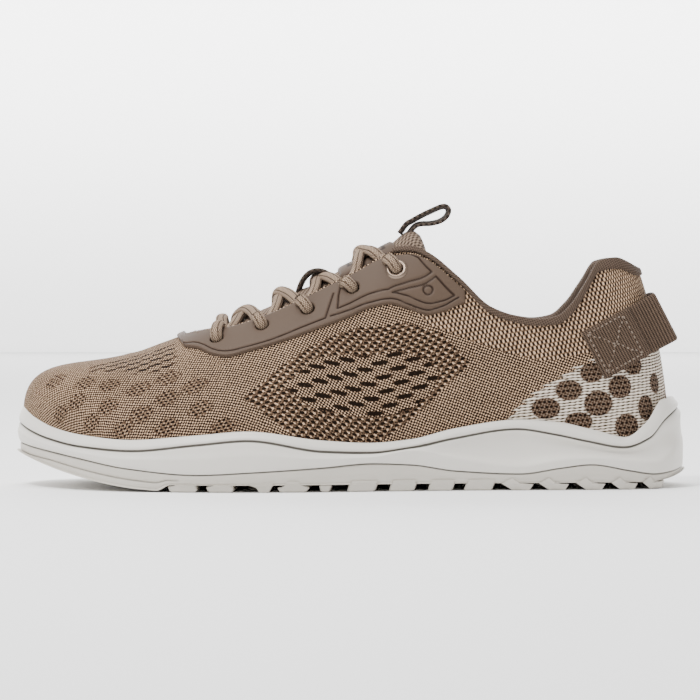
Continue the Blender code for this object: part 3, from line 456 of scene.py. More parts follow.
# The tray's wall: how far its foot is rounded in, its bend above that, and its lip
WALL_FOOT = 0.0026
WALL_BEND = 0.0007
WALL_STEP = 0.10
LIP_HEIGHT = 0.0006
LIP_ROUND = 0.0005
BUMPER_CUT = 0.0006
TOE_TUCK = (0.85, 1)
SEAM_REACH = 0.0007
FAR_AWAY = (0, 0, 1)
TREAD_COLOUR = (0.560, 0.525, 0.465)

angles = even_angles(SECTIONS)


def edge_points(angle, inset, height):
    return np.stack([*plan(angle, inset), height + 0 * angle], -1)


def spine(x):
    """The line under the ridge that every section leans to, and its height."""
    x = np.clip(x, x_of(TOE_POLE_AT), x_of(HEEL_POLE_AT))
    at = at_of(x)
    return x, RIDGE_SHIFT * RIDGE("shift", at), INSTEP_HEIGHT * RIDGE("height", at)


RIDGE_SHIFT = 0.0100
INSTEP_HEIGHT = 0.1220
TOE_POLE_AT = 0.830
HEEL_POLE_AT = 0.120
# Ridge of the last: height as a share of INSTEP_HEIGHT, shift to the big toe's side of RIDGE_SHIFT
RIDGE = Table(
    "at height shift",
    (0.000, 1.000, 0.30),
    (0.290, 1.000, 0.30),
    (0.362, 0.975, 0.32),
    (0.431, 0.914, 0.36),
    (0.531, 0.795, 0.44),
    (0.628, 0.660, 0.55),
    (0.683, 0.602, 0.65),
    (0.740, 0.546, 0.75),
    (0.785, 0.506, 0.86),
    (0.830, 0.471, 1.00),
    (1.000, 0.440, 1.00),
)


def floor_points(angle, level, lift=0.0):
    """A level of the sole halfway in from the upper's foot, and on the line below the ridge."""
    x, y = plan(angle, upper_inset(angle))
    sx, sy, _ = spine(x)
    made = []
    for place in (np.stack([(x + sx) / 2, (y + sy) / 2], -1), np.stack([sx, sy], -1)):
        height = sole_levels(at_of(place[:, 0]))[level] + lift
        made.append(np.column_stack([place, height]))
    return made


def tray_corner(angle):
    at = at_of(plan(angle, 0)[0])
    foxing = RIM_HEIGHT * SOLE_LINES("foxing", at)
    top = np.minimum(sole_levels(at)[1], foxing - 2 * GAP)
    return edge_points(angle, OUTSOLE_WALL + 2 * GAP, top), foxing


def ring_piece(name, knots, steps, finish, replaced, shade_lines=()):
    """A closed ring of sections. Lines are marked on it with painted shade, each with its reach
    and darkness.
    """
    grid = np.swapaxes(smooth_rows(knots, steps), 0, 1)
    rows, columns = grid.shape[:2]
    painted_shade = np.zeros(grid.shape[:2])
    for line, reach, depth in shade_lines:
        gap = np.linalg.norm(grid - np.asarray(line)[:, None], axis=-1)
        painted_shade = np.maximum(painted_shade, depth * (1 - ease(gap, reach * 0.4, reach)))
    faces = quads(rows, columns, wrap_rows=True)
    return dress(name, grid, faces, finish, replaced, {"painted_shade": painted_shade})


def outsole_wall():
    """The tray. A line is pressed into its wall round the toe, where the bumper starts."""
    at = at_of(plan(angles, 0)[0])
    under = sole_levels(at)[0]
    corner, foxing = tray_corner(angles)
    wall = foxing - under
    tuck = SCOOP * WALL_INSETS("scoop", at) * ease(at, *TOE_TUCK) + GAP
    bend = 0.2 + 0.8 * ease(at, 0, 0.08) * (1 - ease(at, BUMPER_START, BUMPER_START + 0.06))
    step = 0.45 - 0.25 * ease(at, 0.94, 1.0)
    cut = BUMPER_CUT * ease(at, 0.745, 0.775)
    pressed = (tuck + 0.0003 + cut, under + step * wall)
    wall_side = (
        (tuck + WALL_FOOT * bend, under),
        (tuck + WALL_BEND * bend, under + WALL_STEP * wall),
        (tuck + 0.0004, under + (step - WALL_STEP) * wall),
        pressed,
        (tuck + 0.0002, under + (step + WALL_STEP) * wall),
        (tuck + 0.0001, foxing - LIP_HEIGHT),
        (tuck + LIP_ROUND, foxing),
        (tuck + LIP_ROUND, foxing),
        (OUTSOLE_WALL, foxing),
        (OUTSOLE_WALL, foxing),
    )
    knots = [
        *floor_points(angles, 0)[::-1],
        *(edge_points(angles, inset, height) for inset, height in wall_side),
        corner,
        *floor_points(angles, 1),
    ]
    edge = edge_points(angles, tuck + LIP_HEIGHT, foxing)
    line = edge_points(angles, *pressed)
    round_toe = np.where((at > 0.75)[:, None], line, line + FAR_AWAY)
    # Painted shade along the lip where the cup sits, and along the line pressed round the toe
    shade_lines = [(edge, SEAM_REACH, 0.6), (round_toe, SEAM_REACH, 0.35)]
    return ring_piece("outsole_tray", knots, 4, tread, ["outsole"], shade_lines)


def bevelled(work, face_points, inward):
    """A bevelled prism added to a bmesh, from the points of its outer face and the way in."""
    outer = [work.verts.new(p) for p in face_points]
    inner = [work.verts.new(np.asarray(p) + inward) for p in face_points]
    count = len(outer)
    made = [work.faces.new(outer), work.faces.new(inner[::-1])]
    for k in range(count):
        k2 = (k + 1) % count
        made.append(work.faces.new((outer[k], outer[k2], inner[k2], inner[k])))
    edges = dict.fromkeys(e for f in made for e in f.edges)
    bmesh.ops.bevel(
        work, geom=list(edges), offset=LUG_BEVEL, segments=2, affect="EDGES", clamp_overlap=True
    )


def on_wall(front, back, side, share, height, inset):
    """A point on a side lug's outer face, at a share of its length and of its height."""
    at = front + (back - front) * (1 - share)
    x, y = plan(side * np.arccos(1 - 2 * at), inset)
    return np.array([float(x), float(y), float(base(at)) + height * LUG_TOP])


def side_lug(work, front, back, shape, side):
    face = []
    for share, height in LUG_FACES[shape]:
        lean = np.array([0.0, -side * LUG_LEAN * (1 - height), 0.0])
        face.append(on_wall(front, back, side, share, height, 0.0001) + lean)
    inward = np.array([0.001, -side * LUG_DEPTH, 0.0])
    bevelled(work, face, inward)
    if shape != "peak":
        return
    share, height, stand = PEAK_NOSE
    nose = work.verts.new(on_wall(front, back, side, share, height, -stand))
    foot = [work.verts.new(p - unit(inward) * 0.0001) for p in face]
    for a, b in zip(foot, foot[1:] + foot[:1]):
        work.faces.new((a, b, nose))
    work.faces.new(foot[::-1])


def middle_lugs(work, front, back):
    """Six-sided lugs side by side between two side lugs."""
    at = (front + back) / 2
    around = np.arccos(1 - 2 * at)
    low, high = (float(plan(s * around, LUG_DEPTH + MIDDLE_EDGE)[1]) for s in (-1, 1))
    x0, x1 = x_of(front), x_of(back)
    mid = (x0 + x1) / 2
    pieces = 3 if high - low > MIDDLE_WIDE else 2
    width = (high - low + LUG_SPACE) / pieces
    for number in range(pieces):
        y0, y1 = low + number * width, low + (number + 1) * width - LUG_SPACE
        skew = LUG_SKEW * (number / pieces)
        corners = (
            (x0, y0 + LUG_SPACE),
            (x0, y1 - LUG_SPACE),
            (mid, y1),
            (x1, y1 - LUG_SPACE),
            (x1, y0 + LUG_SPACE),
            (mid, y0),
        )
        face = [(x + skew, y, float(base(at_of(x + skew)))) for x, y in corners]
        top = float(sole_levels(at)[0] - base(at)) + LUG_SEAT
        bevelled(work, face, np.array([0.0, 0.0, top]))


def tread_lugs():
    work = bmesh.new()
    for front, back, shape in SIDE_LUGS:
        for side in (-1, 1):
            side_lug(work, front, back, shape, side)
    for front, back in [lug[:2] for lug in SIDE_LUGS] + list(TOE_LUGS):
        if back - front >= LUG_SHORTEST:
            middle_lugs(work, front, back)
    mesh = bpy.data.meshes.new("lugs")
    work.to_mesh(mesh)
    work.free()
    points = [v.co[:] for v in mesh.vertices]
    faces = [list(f.vertices) for f in mesh.polygons]
    return dress("tread_lugs", points, faces, tread, sharp=60)


tread = rubber_finish("tread_rubber", TREAD_COLOUR, 0.62)
outsole_wall()
tread_lugs()

# Midsole: the cup of softer off-white rubber, moulded in one with its rim. A groove runs below
# the rim, and along the heel the side is scooped out above a flared ridge. The upper is cemented
# into it.
RUBBER_COLOUR = (0.690, 0.660, 0.605)
WALL_LEAN = 0.0060
TOE_FALL = 0.30
UPPER_WALL = 0.0022
COLLAR_HEIGHT = 0.0980
GROOVE_CUT = 0.0009
CUP_BULGE = 0.0006
RIM_ROUND = 0.0010
SCOOP_END = (0.33, 0.42)
FORM = Table(
    "at wall crown lean",
    (0.000, 0.535, 0.20, 0.10),
    (0.120, 0.56, 0.30, 0.40),
    (0.250, 0.53, 0.52, 0.70),
    (0.400, 0.48, 0.50, 0.90),
    (0.500, 0.42, 0.46, 1.00),
    (0.620, 0.38, 0.48, 1.00),
    (0.740, 0.45, 0.55, 1.00),
    (0.830, 0.56, 0.62, 1.00),
    (0.930, 0.86, 0.60, 1.25),
    (1.000, 1.10, 0.55, 1.50),
)


def bend_weights(t):
    """Shares of the four points that steer a bend, at t from 0 to 1."""
    return (1 - t) ** 3, 3 * t * (1 - t) ** 2, 3 * t * t * (1 - t), t**3


def last(angle, t):
    """Points of the last. t runs up each section, from 0 at the footbed to 1 on the ridge."""
    angle, t = np.broadcast_arrays(np.asarray(angle, float), np.asarray(t, float))
    x0, y0 = plan(angle, upper_inset(angle))
    at = at_of(x0)
    z0 = sole_levels(at)[2] + GAP
    x3, y3, z3 = spine(x0)
    fall = np.where(at > TOE_POLE_AT, TOE_FALL, 0)
    reach = np.maximum(np.hypot(x3 - x0, y3 - y0), 1e-9)
    dx, dy = (x3 - x0) / reach, (y3 - y0) / reach
    lean = WALL_LEAN * FORM("lean", at)
    flat = FORM("crown", at) * reach
    bend = (
        (x0, y0, z0),
        (x0 - dx * lean, y0 - dy * lean, z0 + FORM("wall", at) * (z3 - z0)),
        (x3 - dx * flat, y3 - dy * flat, z3 - fall * dx * flat),
        (x3, y3, z3),
    )
    weights = bend_weights(t)
    return np.stack([sum(w * p[i] for w, p in zip(weights, bend)) for i in range(3)], -1)


def normal(angle, t):
    """Outward normal of the last. On the ridge both sides share one."""
    angle, t = np.broadcast_arrays(np.asarray(angle, float), np.asarray(t, float))
    up = last(angle, np.clip(t + 1e-3, 0, 1)) - last(angle, np.clip(t - 1e-3, 0, 1))
    round_ = last(angle + 1e-3, np.minimum(t, 0.995)) - last(angle - 1e-3, np.minimum(t, 0.995))
    out = unit(np.cross(round_, up))
    x, y, z = spine(last(angle, t)[..., 0])
    ahead = np.stack(spine(x + 1e-3), -1) - np.stack(spine(x - 1e-3), -1)
    crown = unit(np.cross(ahead, np.broadcast_to([0.0, 1.0, 0.0], ahead.shape)))
    return np.where((t > 0.9995)[..., None], crown, out)


def raised(angle, t, lift):
    """Points of the last, moved out along its normal by lift, or in where lift is below zero."""
    return last(angle, t) + normal(angle, t) * np.asarray(lift)[..., None]


def t_at_height(angle, height_at):
    """t where each section first reaches the line height_at(at), or 1 where it never does."""
    angle = np.atleast_1d(angle)
    t = np.linspace(0, 1, 400)
    points = last(angle[:, None], t[None])
    over = points[..., 2] - height_at(at_of(points[..., 0]))
    hit = over >= 0
    i = np.clip(hit.argmax(1), 1, None)
    row = np.arange(len(angle))
    a, b = over[row, i - 1], over[row, i]
    found = t[i - 1] + (t[i] - t[i - 1]) * np.clip(-a / np.where(b == a, 1, b - a), 0, 1)
    return np.where(hit.any(1), np.where(hit[:, 0], 0.0, found), 1.0)


def rim_height(at):
    return RIM_HEIGHT * SOLE_LINES("rim", at)


def bed_edge(angle):
    return last(angle, 0) - np.array([0.0, 0.0, GAP])


def midsole_cup():
    at = at_of(plan(angles, 0)[0])
    corner, foxing = tray_corner(angles)
    groove, rim, flare = (RIM_HEIGHT * SOLE_LINES(c, at) for c in ("groove", "rim", "flare"))
    rim_in, groove_in, scoop = (SCOOP * WALL_INSETS(c, at) for c in ("rim", "groove", "scoop"))
    tuck = scoop * ease(at, *TOE_TUCK)
    hollow = 1 - ease(at, *SCOOP_END)
    scooped = hollow * scoop
    solid = 1 - hollow
    inner = floor_points(angles, 1, 1.5 * GAP)
    above = groove - flare
    bulge = solid * CUP_BULGE
    cup_side = (
        (OUTSOLE_WALL + 2 * GAP, foxing + GAP),
        (OUTSOLE_WALL + 2 * GAP, foxing + GAP),
        (tuck + SEAM_REACH, foxing + GAP),
        (tuck + 0.0002, foxing + LIP_HEIGHT),
        (tuck * 0.7 - bulge * 0.5, foxing + 0.5 * (flare - foxing)),
        (tuck * 0.4 - bulge + 0.0001, flare),
        (scooped * 0.80 + solid * (0.0002 - bulge), flare + 0.22 * above),
        (scooped * 1.22 + solid * 0.35 * groove_in, flare + 0.55 * above),
        (scooped * 1.12 + solid * 0.75 * groove_in, flare + 0.82 * above),
        (groove_in + 0.0001, groove - 0.0006),
        (groove_in + GROOVE_CUT, groove - 0.0001),
        (groove_in + GROOVE_CUT, groove + 0.0003),
        (groove_in + 0.0001, groove + 0.0008),
        (0.6 * groove_in + 0.4 * rim_in - 0.0003, groove + 0.45 * (rim - groove)),
        (rim_in, rim - RIM_ROUND),
        (rim_in + 0.9 * RIM_ROUND, rim),
    )
    knots = [
        *inner[::-1],
        corner + unit(inner[0] - corner) * GAP + (0, 0, 1.5 * GAP),
        *(edge_points(angles, inset, height) for inset, height in cup_side),
        raised(angles, t_at_height(angles, rim_height), 0.0004) + (0, 0, 0.0002),
        raised(angles, t_at_height(angles, lambda a: rim_height(a) - 0.002), 0.0001),
        edge_points(angles, upper_inset(angles) - GAP, bed_edge(angles)[:, 2]),
        edge_points(angles, upper_inset(angles) - GAP, bed_edge(angles)[:, 2]),
        *floor_points(angles, 2),
    ]
    # Painted shade in the groove below the rim, and along the cup's foot on the tray
    line = edge_points(angles, groove_in + GROOVE_CUT, groove + 0.0001)
    foot = edge_points(angles, tuck + SEAM_REACH, foxing + GAP)
    shade_lines = [(line, 0.0011, 1.0), (foot, 0.0006, 0.6)]
    return ring_piece("midsole_cup", knots, 4, cup_rubber, ["midsole"], shade_lines)


cup_rubber = rubber_finish("cup_rubber", RUBBER_COLOUR, 0.5)
midsole_cup()

# Footbed: a loose insole of foam, covered in dark woven cloth, that lies in the bottom of the
# shoe. It is seen only through the collar.
INSOLE_THICKNESS = 0.0035
FOOTBED_COLOUR = (0.110, 0.088, 0.072)
FOOTBED_DARK = (0.050, 0.040, 0.033)
FOOTBED_STEPS = ((1.6, 0.0), (0.0, 1.6))
FOOTBED_RELIEF = 0.0003
FOOTBED_ROUND = 0.0060
WORN_SMOOTH = 0.55


def steps_of(first, second):
    """Vectors that turn a place on cloth into counts of its two repeats, and the repeats."""
    inverse = np.linalg.inv(np.array([first, second], float).T)
    return {"Count A": (*inverse[0], 0.0), "Count B": (*inverse[1], 0.0)}


# Any knit or weave repeats on a slanted lattice: yarn stands up at its points, with gaps between
STITCHES, given, result = effect(
    "stitch_lattice",
    {
        "Place": "vector",
        "Count A": "vector",
        "Count B": "vector",
        "Gain": "value",
        "Rows": "value",
    },
    {"Yarn": "value"},
)
n = Nodes(STITCHES)
waves = []
for count in ("Count A", "Count B"):
    inputs = {0: given["Place"], 1: given[count]}
    turns = n.add("ShaderNodeVectorMath", inputs, "Value", operation="DOT_PRODUCT")
    waves.append(n.math("COSINE", n.math("MULTIPLY", turns, 2 * math.pi)))
waves[1] = n.math("MULTIPLY", waves[1], given["Rows"])
both = n.math("MULTIPLY", n.math("ADD", *waves), given["Gain"])
STITCHES.links.new(n.math("ADD", n.math("MULTIPLY", both, 0.25), 0.5, True), result["Yarn"])


def woven_finish(name, dark, light, repeats, roughness, depth, gain=1.0, smooth=None):
    """Plain woven cloth: yarn from its two colours, on its own lattice in millimetres. The light
    colour is the yarn's own, and the dark one is painted shade in the gaps between yarns.
    """
    made, n, shader = finish(
        name, light, roughness, Sheen_Weight=0.04, Sheen_Roughness=0.5, Specular_IOR_Level=0.1
    )
    place = n.mark("place", "Vector")
    inputs = {"Place": place, "Gain": gain, "Rows": 1.0, **steps_of(*repeats)}
    yarn = n.group(STITCHES, inputs, "Yarn")
    fuzz = n.noise(place, 0.9, 3.0)
    if smooth:
        yarn = n.mix(n.mark(smooth), yarn, WORN_SMOOTH)
    tone = n.math("ADD", n.math("MULTIPLY", yarn, 0.8), n.math("MULTIPLY", fuzz, 0.3), True)
    # The dark colour in the yarn's gaps is painted shade
    n.tree.links.new(n.blend(tone, (*dark, 1), (*light, 1)), shader.inputs["Base Color"])
    relief(n, shader, yarn, depth)
    return made


footbed = woven_finish(
    "footbed_cloth", FOOTBED_DARK, FOOTBED_COLOUR, FOOTBED_STEPS, 0.95, FOOTBED_RELIEF
)


def insole_sheet():
    """The sheet turns up at its rim, against the foot of the upper's wall."""
    edge = bed_edge(angles)
    middle, line = floor_points(angles, 2)
    inward = unit(middle - edge)
    side = UPPER_WALL + 4 * GAP
    top = 1.15 * INSOLE_THICKNESS + GAP
    knots = [
        line + (0, 0, GAP),
        middle + (0, 0, GAP),
        edge + inward * side + (0, 0, GAP),
        edge + inward * side + (0, 0, GAP),
        edge + inward * UPPER_WALL * 0.8 + (0, 0, 0.7 * top),
        edge + inward * UPPER_WALL * 0.6 + (0, 0, top),
        edge + inward * (side + FOOTBED_ROUND) + (0, 0, GAP + INSOLE_THICKNESS),
        middle + (0, 0, GAP + INSOLE_THICKNESS),
        line + (0, 0, GAP + INSOLE_THICKNESS),
    ]
    grid = np.swapaxes(smooth_rows(knots, 3), 0, 1)
    rows, columns = grid.shape[:2]
    faces = quads(rows, columns, wrap_rows=True)
    marks = {"place": grid * 1000 * (1, 1, 0)}
    return dress("insole_sheet", grid, faces, footbed, ["insole"], marks)


insole_sheet()

# Upper: one knitted sock of brown and tan yarn, pulled over the last. It is plain over most of the
# side, with small dotted patches at the forefoot, a large openwork diamond with slits in the
# midfoot, a coarse mesh round the collar and a cream field with brown spots at the heel.
UPPER_ROWS = 92
TOP_LINE = Table(
    "at height",
    (0.000, 0.930),
    (0.070, 0.958),
    (0.105, 0.998),
    (0.130, 0.984),
    (0.150, 0.896),
    (0.172, 0.800),
    (0.195, 0.742),
    (0.222, 0.729),
    (0.255, 0.743),
    (0.293, 0.784),
    (0.338, 0.909),
    (0.386, 1.024),
    (0.407, 1.048),
    (0.427, 1.046),
    (0.445, 1.028),
    (0.483, 0.964),
    (0.541, 0.876),
    (0.596, 0.796),
    (0.650, 0.732),
    (0.683, 0.706),
    (0.718, 0.692),
    (0.747, 0.674),
)
# Where the knit's patterns lie on the lateral side, as (x, z) in millimetres seen from the side
DOT_PATCHES = (
    (-127.5, 45.9), (-114.1, 45.4), (-102.5, 44.3), (-89.8, 42.8), (-77.9, 47.8), (-65.7, 44.6),
    (-77.5, 39.2), (-89.3, 32.0), (-102.9, 35.2), (-63.3, 34.7), (-76.8, 27.2), (-53.9, 27.3),
    (-117.1, 37.4), (-110.2, 28.3), (-96.9, 25.2), (-123.9, 32.1),
)
PATCH_SIZE = (5.4, 4.0)
OUT_OF_REACH = 20.0
DIAMOND = (
    (-44.8, 39.3), (-20.8, 58.1), (-12.3, 63.2), (-6.0, 66.2), (4.7, 69.6), (21.7, 70.8),
    (38.8, 67.4), (50.6, 53.4), (42.9, 46.2), (34.4, 37.8), (28.0, 31.1), (19.5, 25.2),
    (0.0, 18.0), (-24.8, 22.0), (-36.7, 33.1),
)
INNER_DIAMOND = (
    (-27.9, 43.9), (-15.7, 55.6), (-1.7, 57.7), (19.5, 59.0), (32.3, 56.0), (38.7, 49.6),
    (34.4, 41.2), (25.9, 34.5), (15.2, 32.0), (0.4, 31.7), (-16.4, 34.8),
)
COLLAR_MESH = (
    (34.5, 69.5), (52.4, 63.2), (66.9, 58.5), (81.4, 55.0), (100.4, 58.0), (118.0, 62.0),
    (137.0, 62.0), (137.0, 95.0), (100.0, 99.0), (60.0, 99.0), (12.0, 99.0), (22.0, 80.0),
)
RIDGE_SLITS = (
    (-111.6, 49.1), (-96.6, 50.3), (-91.4, 49.1), (-85.8, 49.5), (-76.3, 50.8), (-74.1, 55.9),
    (-76.3, 61.5), (-85.8, 58.5), (-98.7, 55.1), (-111.6, 52.5),
)
CREAM_FIELD = (
    (60.0, 22.0), (68.5, 30.0), (72.8, 35.5), (77.1, 38.9), (83.5, 44.0), (90.0, 48.2),
    (96.5, 51.6), (103.0, 54.5), (118.0, 62.0), (137.0, 62.0), (140.0, 20.0), (60.0, 15.0),
)
SPOTS = (
    (103.4, 49.9, 5.2, 4.4), (93.4, 42.2, 5.9, 4.4), (83.1, 34.6, 6.3, 4.6),
    (97.6, 29.0, 6.1, 4.2), (106.7, 36.6, 6.3, 5.5), (115.0, 43.8, 5.5, 5.1),
    (121.3, 53.0, 5.0, 4.2), (131.0, 44.8, 3.4, 4.6), (127.0, 34.5, 4.2, 5.5),
    (119.0, 26.7, 5.5, 5.5),
)


def top_height(at):
    """Height of the upper's top edge. In front of the throat there is none."""
    line = COLLAR_HEIGHT * TOP_LINE("height", at)
    return np.where(at > TOP_LINE.rows[-1, 0], 1.0, line)


def down_from(angle, t_start, depth):
    """t of the point that lies depth below t_start, measured along the section."""
    t = np.linspace(t_start, 0, 200)
    points = last(np.full(t.shape, angle), t)
    return np.interp(depth, run_along(points), t)


def angle_at(at, side):
    """Angle of the section that stands at a share of the length, on side -1 or 1."""
    angle = np.arccos(np.clip(1 - 2 * np.asarray(at, float), -1, 1))
    for _ in range(3):
        x = x_of(np.asarray(at, float)) / (HALF_LENGTH - upper_inset(angle))
        angle = np.arccos(np.clip(x, -1, 1))
    return side * angle


def runs_up(angle, t):
    """Length along each section from its foot to t, and the section's whole length."""
    fine = np.linspace(0, 1, 300)
    run = run_along(last(angle[:, None], fine[None]), axis=1)
    return np.array([np.interp(a, fine, b) for a, b in zip(t, run)]), run[:, -1:]


# In front of TURN_X the knit is counted from the ridge down. One course of stitches runs level
# at COURSE_HEIGHT round the heel.
TURN_X = -0.030
COURSE_HEIGHT = 0.030
COURSE_TURN = (0.45, 0.70)


def knit_place(angle, t):
    """Flat place of each point on the knit, in millimetres: on from the heel, and up."""
    arc, whole = runs_up(angle, t)
    level = t_at_height(angle, lambda at: COURSE_HEIGHT + 0 * at)
    start = runs_up(angle, level[:, None])[0]
    half = np.linspace(0, np.pi, 1500)
    along = {}
    for side in (-1, 1):
        outline = np.column_stack(plan(side * half, upper_inset(half)))
        run = run_along(outline)
        along[side] = (run, np.interp(-TURN_X, -outline[:, 0], run))
    turn_lateral = along[-1][1]
    x0, y0 = plan(angle, upper_inset(angle))
    x3, y3, _ = spine(x0)
    reach = np.maximum(np.hypot(x0 - x3, y0 - y3), 1e-9)
    out_x, out_y = (x0 - x3) / reach, np.abs(y0 - y3) / reach
    u = []
    for a in angle:
        run, turn = along[1 if a > 0 else -1]
        u.append(np.interp(abs(a), half, run) * turn_lateral / turn)
    down = whole - arc
    ahead = turn_lateral + (TURN_X - x3)[:, None] - np.minimum(out_x, 0)[:, None] * down
    u = np.where((x3 > TURN_X)[:, None], np.array(u)[:, None], ahead)
    at = at_of(x0)
    share = ease(at, *COURSE_TURN)[:, None]
    out_y = np.where(at > TOE_POLE_AT, out_y, 1.0)[:, None]
    fixed = (whole - start)[np.argmin(np.abs(at - COURSE_TURN[1]))]
    v = (1 - share) * (whole - down - start) + share * (fixed - down * out_y)
    return np.stack([u, v, 0 * u], -1) * 1000


def to_line(points, line):
    """Distance of flat points to an open line."""
    best = np.full(points.shape[:-1], 1e9)
    for a, b in zip(line[:-1], line[1:]):
        d = b - a
        f = np.clip(((points - a) @ d) / max(d @ d, 1e-12), 0, 1)
        best = np.minimum(best, np.linalg.norm(points - a - f[..., None] * d, axis=-1))
    return best


def inside_line(points, ring):
    """Signed distance of flat points to a closed line, below zero inside it."""
    ring = np.asarray(ring, float)
    best = to_line(points, np.vstack([ring, ring[:1]]))
    inside = np.zeros(points.shape[:-1], bool)
    for a, b in zip(ring, np.roll(ring, -1, 0)):
        d = b - a
        crossing = (a[1] > points[..., 1]) != (b[1] > points[..., 1])
        reach = a[0] + (points[..., 1] - a[1]) * d[0] / (d[1] if d[1] else 1e-9)
        inside ^= crossing & (points[..., 0] < reach)
    return np.where(inside, -best, best)


def wall_rows(rows):
    rim = t_at_height(angles, rim_height)[:, None]
    top = t_at_height(angles, top_height)[:, None]
    share = np.linspace(0, 1, rows)
    return np.concatenate([0.6 * rim, rim + (top - rim) * share], 1)


def closed_wall(
    name, outer, inner, finish, replaced, marks, wrap=False, skip=None, lined=None
):
    """A wall between two grids of one layout, closed along every open edge."""
    rows, columns = outer.shape[:2]
    flat = outer.reshape(-1, 3)
    _, first, same = np.unique(np.round(flat, 6), axis=0, return_index=True, return_inverse=True)
    same = same.ravel()
    keep = np.ones((rows if wrap else rows - 1, columns - 1), bool)
    if skip is not None:
        keep &= ~skip
    ring = np.array(quads(rows, columns, wrap_rows=wrap))[keep.ravel()]
    faces, edges = [], {}
    for corners in same[ring].tolist():
        corners = [k for n, k in enumerate(corners) if k != corners[n - 1]]
        if len(corners) < 3:
            continue
        faces.append(corners)
        for a, b in zip(corners, corners[1:] + corners[:1]):
            key = (a, b) if a < b else (b, a)
            edges[key] = None if key in edges else (a, b)
    count = len(first)
    outside = len(faces)
    faces += [[k + count for k in reversed(face)] for face in faces]
    inner_end = len(faces)
    faces += [[b, a, a + count, b + count] for a, b in filter(None, edges.values())]
    points = np.concatenate([flat[first], inner.reshape(-1, 3)[first]])
    doubled = {}
    for mark, values in marks.items():
        values = np.asarray(values).reshape((rows * columns, -1))[first]
        values = np.concatenate([values, values])
        doubled[mark] = values if values.shape[1] == 3 else values[:, 0]
    made = dress(name, points, faces, finish, replaced, doubled)
    if lined is not None:
        made.data.materials.append(lined)
        index = np.zeros(len(made.data.polygons), np.int32)
        index[outside:inner_end] = 1
        made.data.polygons.foreach_set("material_index", index)
    return made


EYELETS = (
    (0.6960, 0.646),
    (0.6284, 0.704),
    (0.5612, 0.777),
    (0.4952, 0.870),
    (0.4302, 0.950),
)
EYELET_HOLE = 0.0056
EYELET_CLEAR = 0.0040
EYELET_SNAP = 0.00034


def eyelet_place(number, side):
    """Angle, t, centre and outward direction of an eyelet, level across the throat."""
    at, height = EYELETS[number]
    outer = float(angle_at(at, -1))
    t = float(t_at_height(outer, lambda a: np.full(np.shape(a), COLLAR_HEIGHT * height))[0])
    angle = outer
    if side > 0:
        top = float(t_at_height(outer, top_height)[0])
        depth = run_along(last(np.full(50, outer), np.linspace(t, top, 50)))[-1]
        angle = -outer
        t = float(down_from(angle, float(t_at_height(angle, top_height)[0]), depth))
    return angle, t, last(angle, t), normal(angle, t)


eyelets = [(n, side, eyelet_place(n, side)) for n in range(len(EYELETS)) for side in (-1, 1)]
upper_t = wall_rows(UPPER_ROWS)
upper_angles = np.broadcast_to(angles[:, None], upper_t.shape)
upper_outside = last(upper_angles, upper_t)
knit_map = knit_place(angles, upper_t)
lookup = KDTree(upper_outside.shape[0] * upper_outside.shape[1])
for index, (point, angle) in enumerate(zip(upper_outside.reshape(-1, 3), upper_angles.ravel())):
    if angle < 0:
        lookup.insert((point[0] * 1000, point[2] * 1000, 0), index)
lookup.balance()


def on_knit(x, z):
    """Flat place on the knit of a spot seen from the lateral side, in millimetres."""
    return knit_map.reshape(-1, 3)[lookup.find((x, z, 0))[1]][:2]


def knit_marks():
    """Distances to the edges of the knit's zones, below zero inside each."""
    flat = knit_map[..., :2]
    diamond, inner_diamond, mesh, cream, rows = (
        inside_line(flat, [on_knit(x, z) for x, z in line])
        for line in (DIAMOND, INNER_DIAMOND, COLLAR_MESH, CREAM_FIELD, RIDGE_SLITS)
    )
    dots = np.full(flat.shape[:2], OUT_OF_REACH)
    for x, z in DOT_PATCHES:
        off = (flat - on_knit(x, z)) / PATCH_SIZE
        pointed, rounded = np.abs(off).sum(-1), np.linalg.norm(off, axis=-1)
        dots = np.minimum(dots, (0.3 * pointed + 0.7 * rounded - 1) * PATCH_SIZE[1])
    spots = np.full(flat.shape[:2], OUT_OF_REACH)
    for x, z, wide, high in SPOTS:
        off = (flat - on_knit(x, z)) / (wide, high)
        spots = np.minimum(spots, (np.linalg.norm(off, axis=-1) - 1) * high)
    return {
        "place": knit_map,
        "open": np.maximum(diamond, -inner_diamond),
        "slits": inner_diamond,
        "mesh": mesh,
        "cream": cream,
        "dots": dots,
        "spots": spots,
        "rows": rows,
    }


# Holes, knots and slits in a knit: one rounded shape at each point of a slanted lattice
SLITS, given, result = effect(
    "slit_lattice",
    {
        "Place": "vector",
        "Count A": "vector",
        "Count B": "vector",
        "Step A": "vector",
        "Step B": "vector",
        "Along": "vector",
        "Across": "vector",
    },
    {"Slit": "value"},
)
n = Nodes(SLITS)
SQUARENESS = 2.6


def dot_of(a, b):
    return n.add("ShaderNodeVectorMath", {0: a, 1: b}, "Value", operation="DOT_PRODUCT")


offsets = []
for letter in "AB":
    turns = dot_of(given["Place"], given[f"Count {letter}"])
    part = n.math("SUBTRACT", n.math("FRACT", n.math("ADD", turns, 0.5)), 0.5)
    inputs = {0: given[f"Step {letter}"], 3: part}
    offsets.append(n.add("ShaderNodeVectorMath", inputs, operation="SCALE"))
off = n.add("ShaderNodeVectorMath", {0: offsets[0], 1: offsets[1]}, operation="ADD")
parts = []
for way in ("Along", "Across"):
    parts.append(n.math("POWER", n.math("ABSOLUTE", dot_of(off, given[way])), SQUARENESS))
SLITS.links.new(n.between(n.math("ADD", *parts), 1.25, 0.55), result["Slit"])

# Lattices of the yarn, each as its two repeats in millimetres along and up the knit
PLAIN_STEPS = ((-1.08, -0.38), (-0.42, 1.06))
MESH_STEPS = ((-1.45, -1.60), (-0.38, 1.95))
CREAM_STEPS = ((-2.40, 0.25), (-0.15, 1.30))
OPEN_STEPS = ((-3.85, 0.62), (1.50, -1.92))
